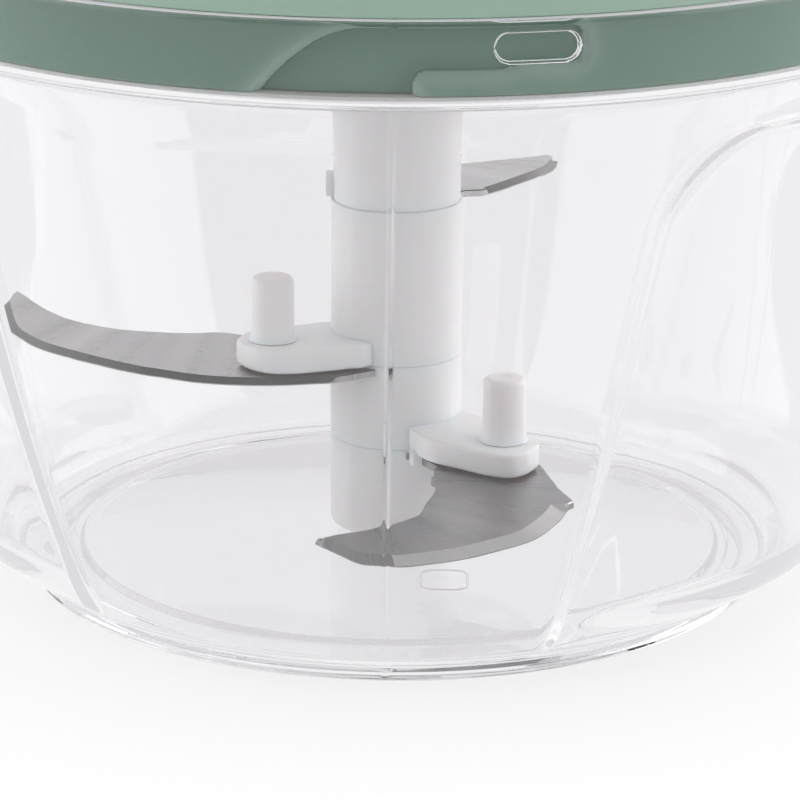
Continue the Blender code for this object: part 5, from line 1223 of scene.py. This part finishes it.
finish_piece("cord_lead_braid", [tube_grid(lead, CORD_RADIUS)], "lid", CORD, ["cord_lead"])
inside_grip = np.linspace((0.0, GRIP_IN, CORD_HEIGHT), (0.0, 0.0621, CORD_HEIGHT), 12)
finish_piece("cord_end_braid", [tube_grid(inside_grip, CORD_RADIUS)], "handle", CORD, ["cord_end"])

# %% Knot
def knot_grid():
    """A stopper knot drawn tight: a ball with three slanting bulges round it.

    radius = ball x (0.90 + 0.10 |sin(1.5 turn + 2 rise)| cos(rise)).
    """
    rise = np.linspace(-math.pi / 2, math.pi / 2, 24)[:, None]
    turn = np.linspace(0.0, math.tau, 48, endpoint=False)[None, :]
    radius = 0.0024 * (0.90 + 0.10 * np.abs(np.sin(1.5 * turn + 2.0 * rise)) * np.cos(rise))
    return Grid(np.stack([radius * np.cos(rise) * np.cos(turn), 0.0648 + radius * np.sin(rise),
                          CORD_HEIGHT + radius * np.cos(rise) * np.sin(turn)], axis=-1))


finish_piece("cord_knot_tied", [knot_grid()], "handle", CORD, ["cord_knot"])

# %% Finishes of the CAD nodes that stay
KEPT = {"white": WHITE, "bolt": BOLT_STEEL, "spring": SPRING_STEEL, "brass": BRASS}
KEPT_NODES = {
    "white": ["socket_bushing", "spring_cup", "cord_drum", "drum_cap", "drive_socket",
              "drive_core", "cord_eyelet"],
    "bolt": ["drum_spindle", "pivot_pin"] + [f"lid_screw_{k}" for k in (1, 2, 3, 4)]
            + [f"cup_screw_{k}" for k in (1, 2, 3)] + [f"drive_screw_{k}" for k in (1, 2)],
    "spring": ["return_spring"], "brass": ["pivot_bush"]}
for finish, names in KEPT_NODES.items():
    for name in names:
        nodes[name].data.materials.clear()
        nodes[name].data.materials.append(KEPT[finish])
print("finished", sum(len(names) for names in KEPT_NODES.values()), "CAD nodes")

# %% [markdown]
# ## The stage
# The photograph's ground is seamless white. The floor is a plain diffuse plane
# that keeps the object's shadow, but rays from the camera, and rays bent or
# mirrored by the object, mostly meet a white glow, so the floor shows white. The
# glow's share is larger for bent and mirrored rays than for those straight from
# the camera, because the shadow shows through the clear bowl only faintly.

# %% Floor
PLAIN_GLOW, BENT_GLOW = 0.74, 0.93
FLOOR_HALF, FLOOR_LEVEL = 4.0, -0.0001


def make_floor():
    """A wide plane just under the foot, white to the camera and plain to the lamps."""
    mesh = bpy.data.meshes.new("floor")
    corners = ((-1.0, -1.0), (1.0, -1.0), (1.0, 1.0), (-1.0, 1.0))
    mesh.from_pydata([(x * FLOOR_HALF, y * FLOOR_HALF, FLOOR_LEVEL) for x, y in corners], [],
                     [(0, 1, 2, 3)])
    floor = placed("floor", mesh)
    paper = Finish("floor_paper", (0.9, 0.9, 0.9), 0.9)
    glow = paper.node("ShaderNodeEmission", {}, {})
    straight, mirrored, bent = (paper.ray(f"Is {kind} Ray")
                                for kind in ("Camera", "Glossy", "Transmission"))
    share = straight * PLAIN_GLOW + mirrored.math("MAXIMUM", bent) * BENT_GLOW
    paper.show(paper.mixed(share, paper.principled(), glow))
    mesh.materials.append(paper.material)


make_floor()

# %% [markdown]
# The light is a white room whose front is darker, as a studio is behind the
# camera, with two large soft lamps at the sides and one above. The room's
# colour is a blend by the direction: white at the back, and in front a grey
# that grows lighter upwards.

# %% Light
FRONT_LEVEL, FRONT_RISE, FRONT_TO, BACK_FROM = 0.10, 0.5, -0.55, 0.35
ROOM_BACK, LAMP_AIM = (1.0, 1.0, 1.0), (0.0, 0.0, 0.05)


def make_world():
    """The room: grey = level + rise x Z in front, white behind, blended over the direction's Y."""
    world = bpy.data.worlds.new("room")
    bpy.context.scene.world = world
    world.use_nodes = True
    room = Nodes(world.node_tree)
    _, ahead, up = room.split(room.node("ShaderNodeTexCoord", {}, {}, "Generated"))
    share = room.node("ShaderNodeMapRange", {}, {"Value": ahead, "From Min": FRONT_TO,
                                                 "From Max": BACK_FROM})
    grey = room.node("ShaderNodeMath", {"operation": "MULTIPLY_ADD", "use_clamp": True},
                     {0: up, 1: FRONT_RISE, 2: FRONT_LEVEL})
    colour = room.node("ShaderNodeMix", {"data_type": "RGBA"},
                       {0: share, 6: grey, 7: (*ROOM_BACK, 1.0)}, 2)
    background = room.tree.nodes["Background"]
    room.tree.links.new(colour.socket, background.inputs["Color"])
    background.inputs["Strength"].default_value = 1.0


def make_lamp(name, azimuth, distance, height, size, radiance):
    """A soft rectangular lamp aimed at the bowl; its power comes from how bright its face is."""
    data = bpy.data.lights.new(name, "AREA")
    data.shape = "RECTANGLE"
    data.size, data.size_y = size
    data.energy = radiance * math.pi * size[0] * size[1]
    lamp = placed(name, data)
    lamp.location = (*polar(distance, azimuth), height)
    aim = Vector(LAMP_AIM) - lamp.location
    lamp.rotation_euler = aim.to_track_quat("-Z", "Y").to_euler()


make_world()
make_lamp("left_lamp", 186.0, 1.3, 0.40, (2.3, 1.5), 1.22)
make_lamp("right_lamp", 6.0, 1.3, 0.40, (2.3, 1.5), 1.46)
make_lamp("top_lamp", 90.0, 0.2, 1.2, (1.6, 1.4), 1.15)
print("stage and light ready")
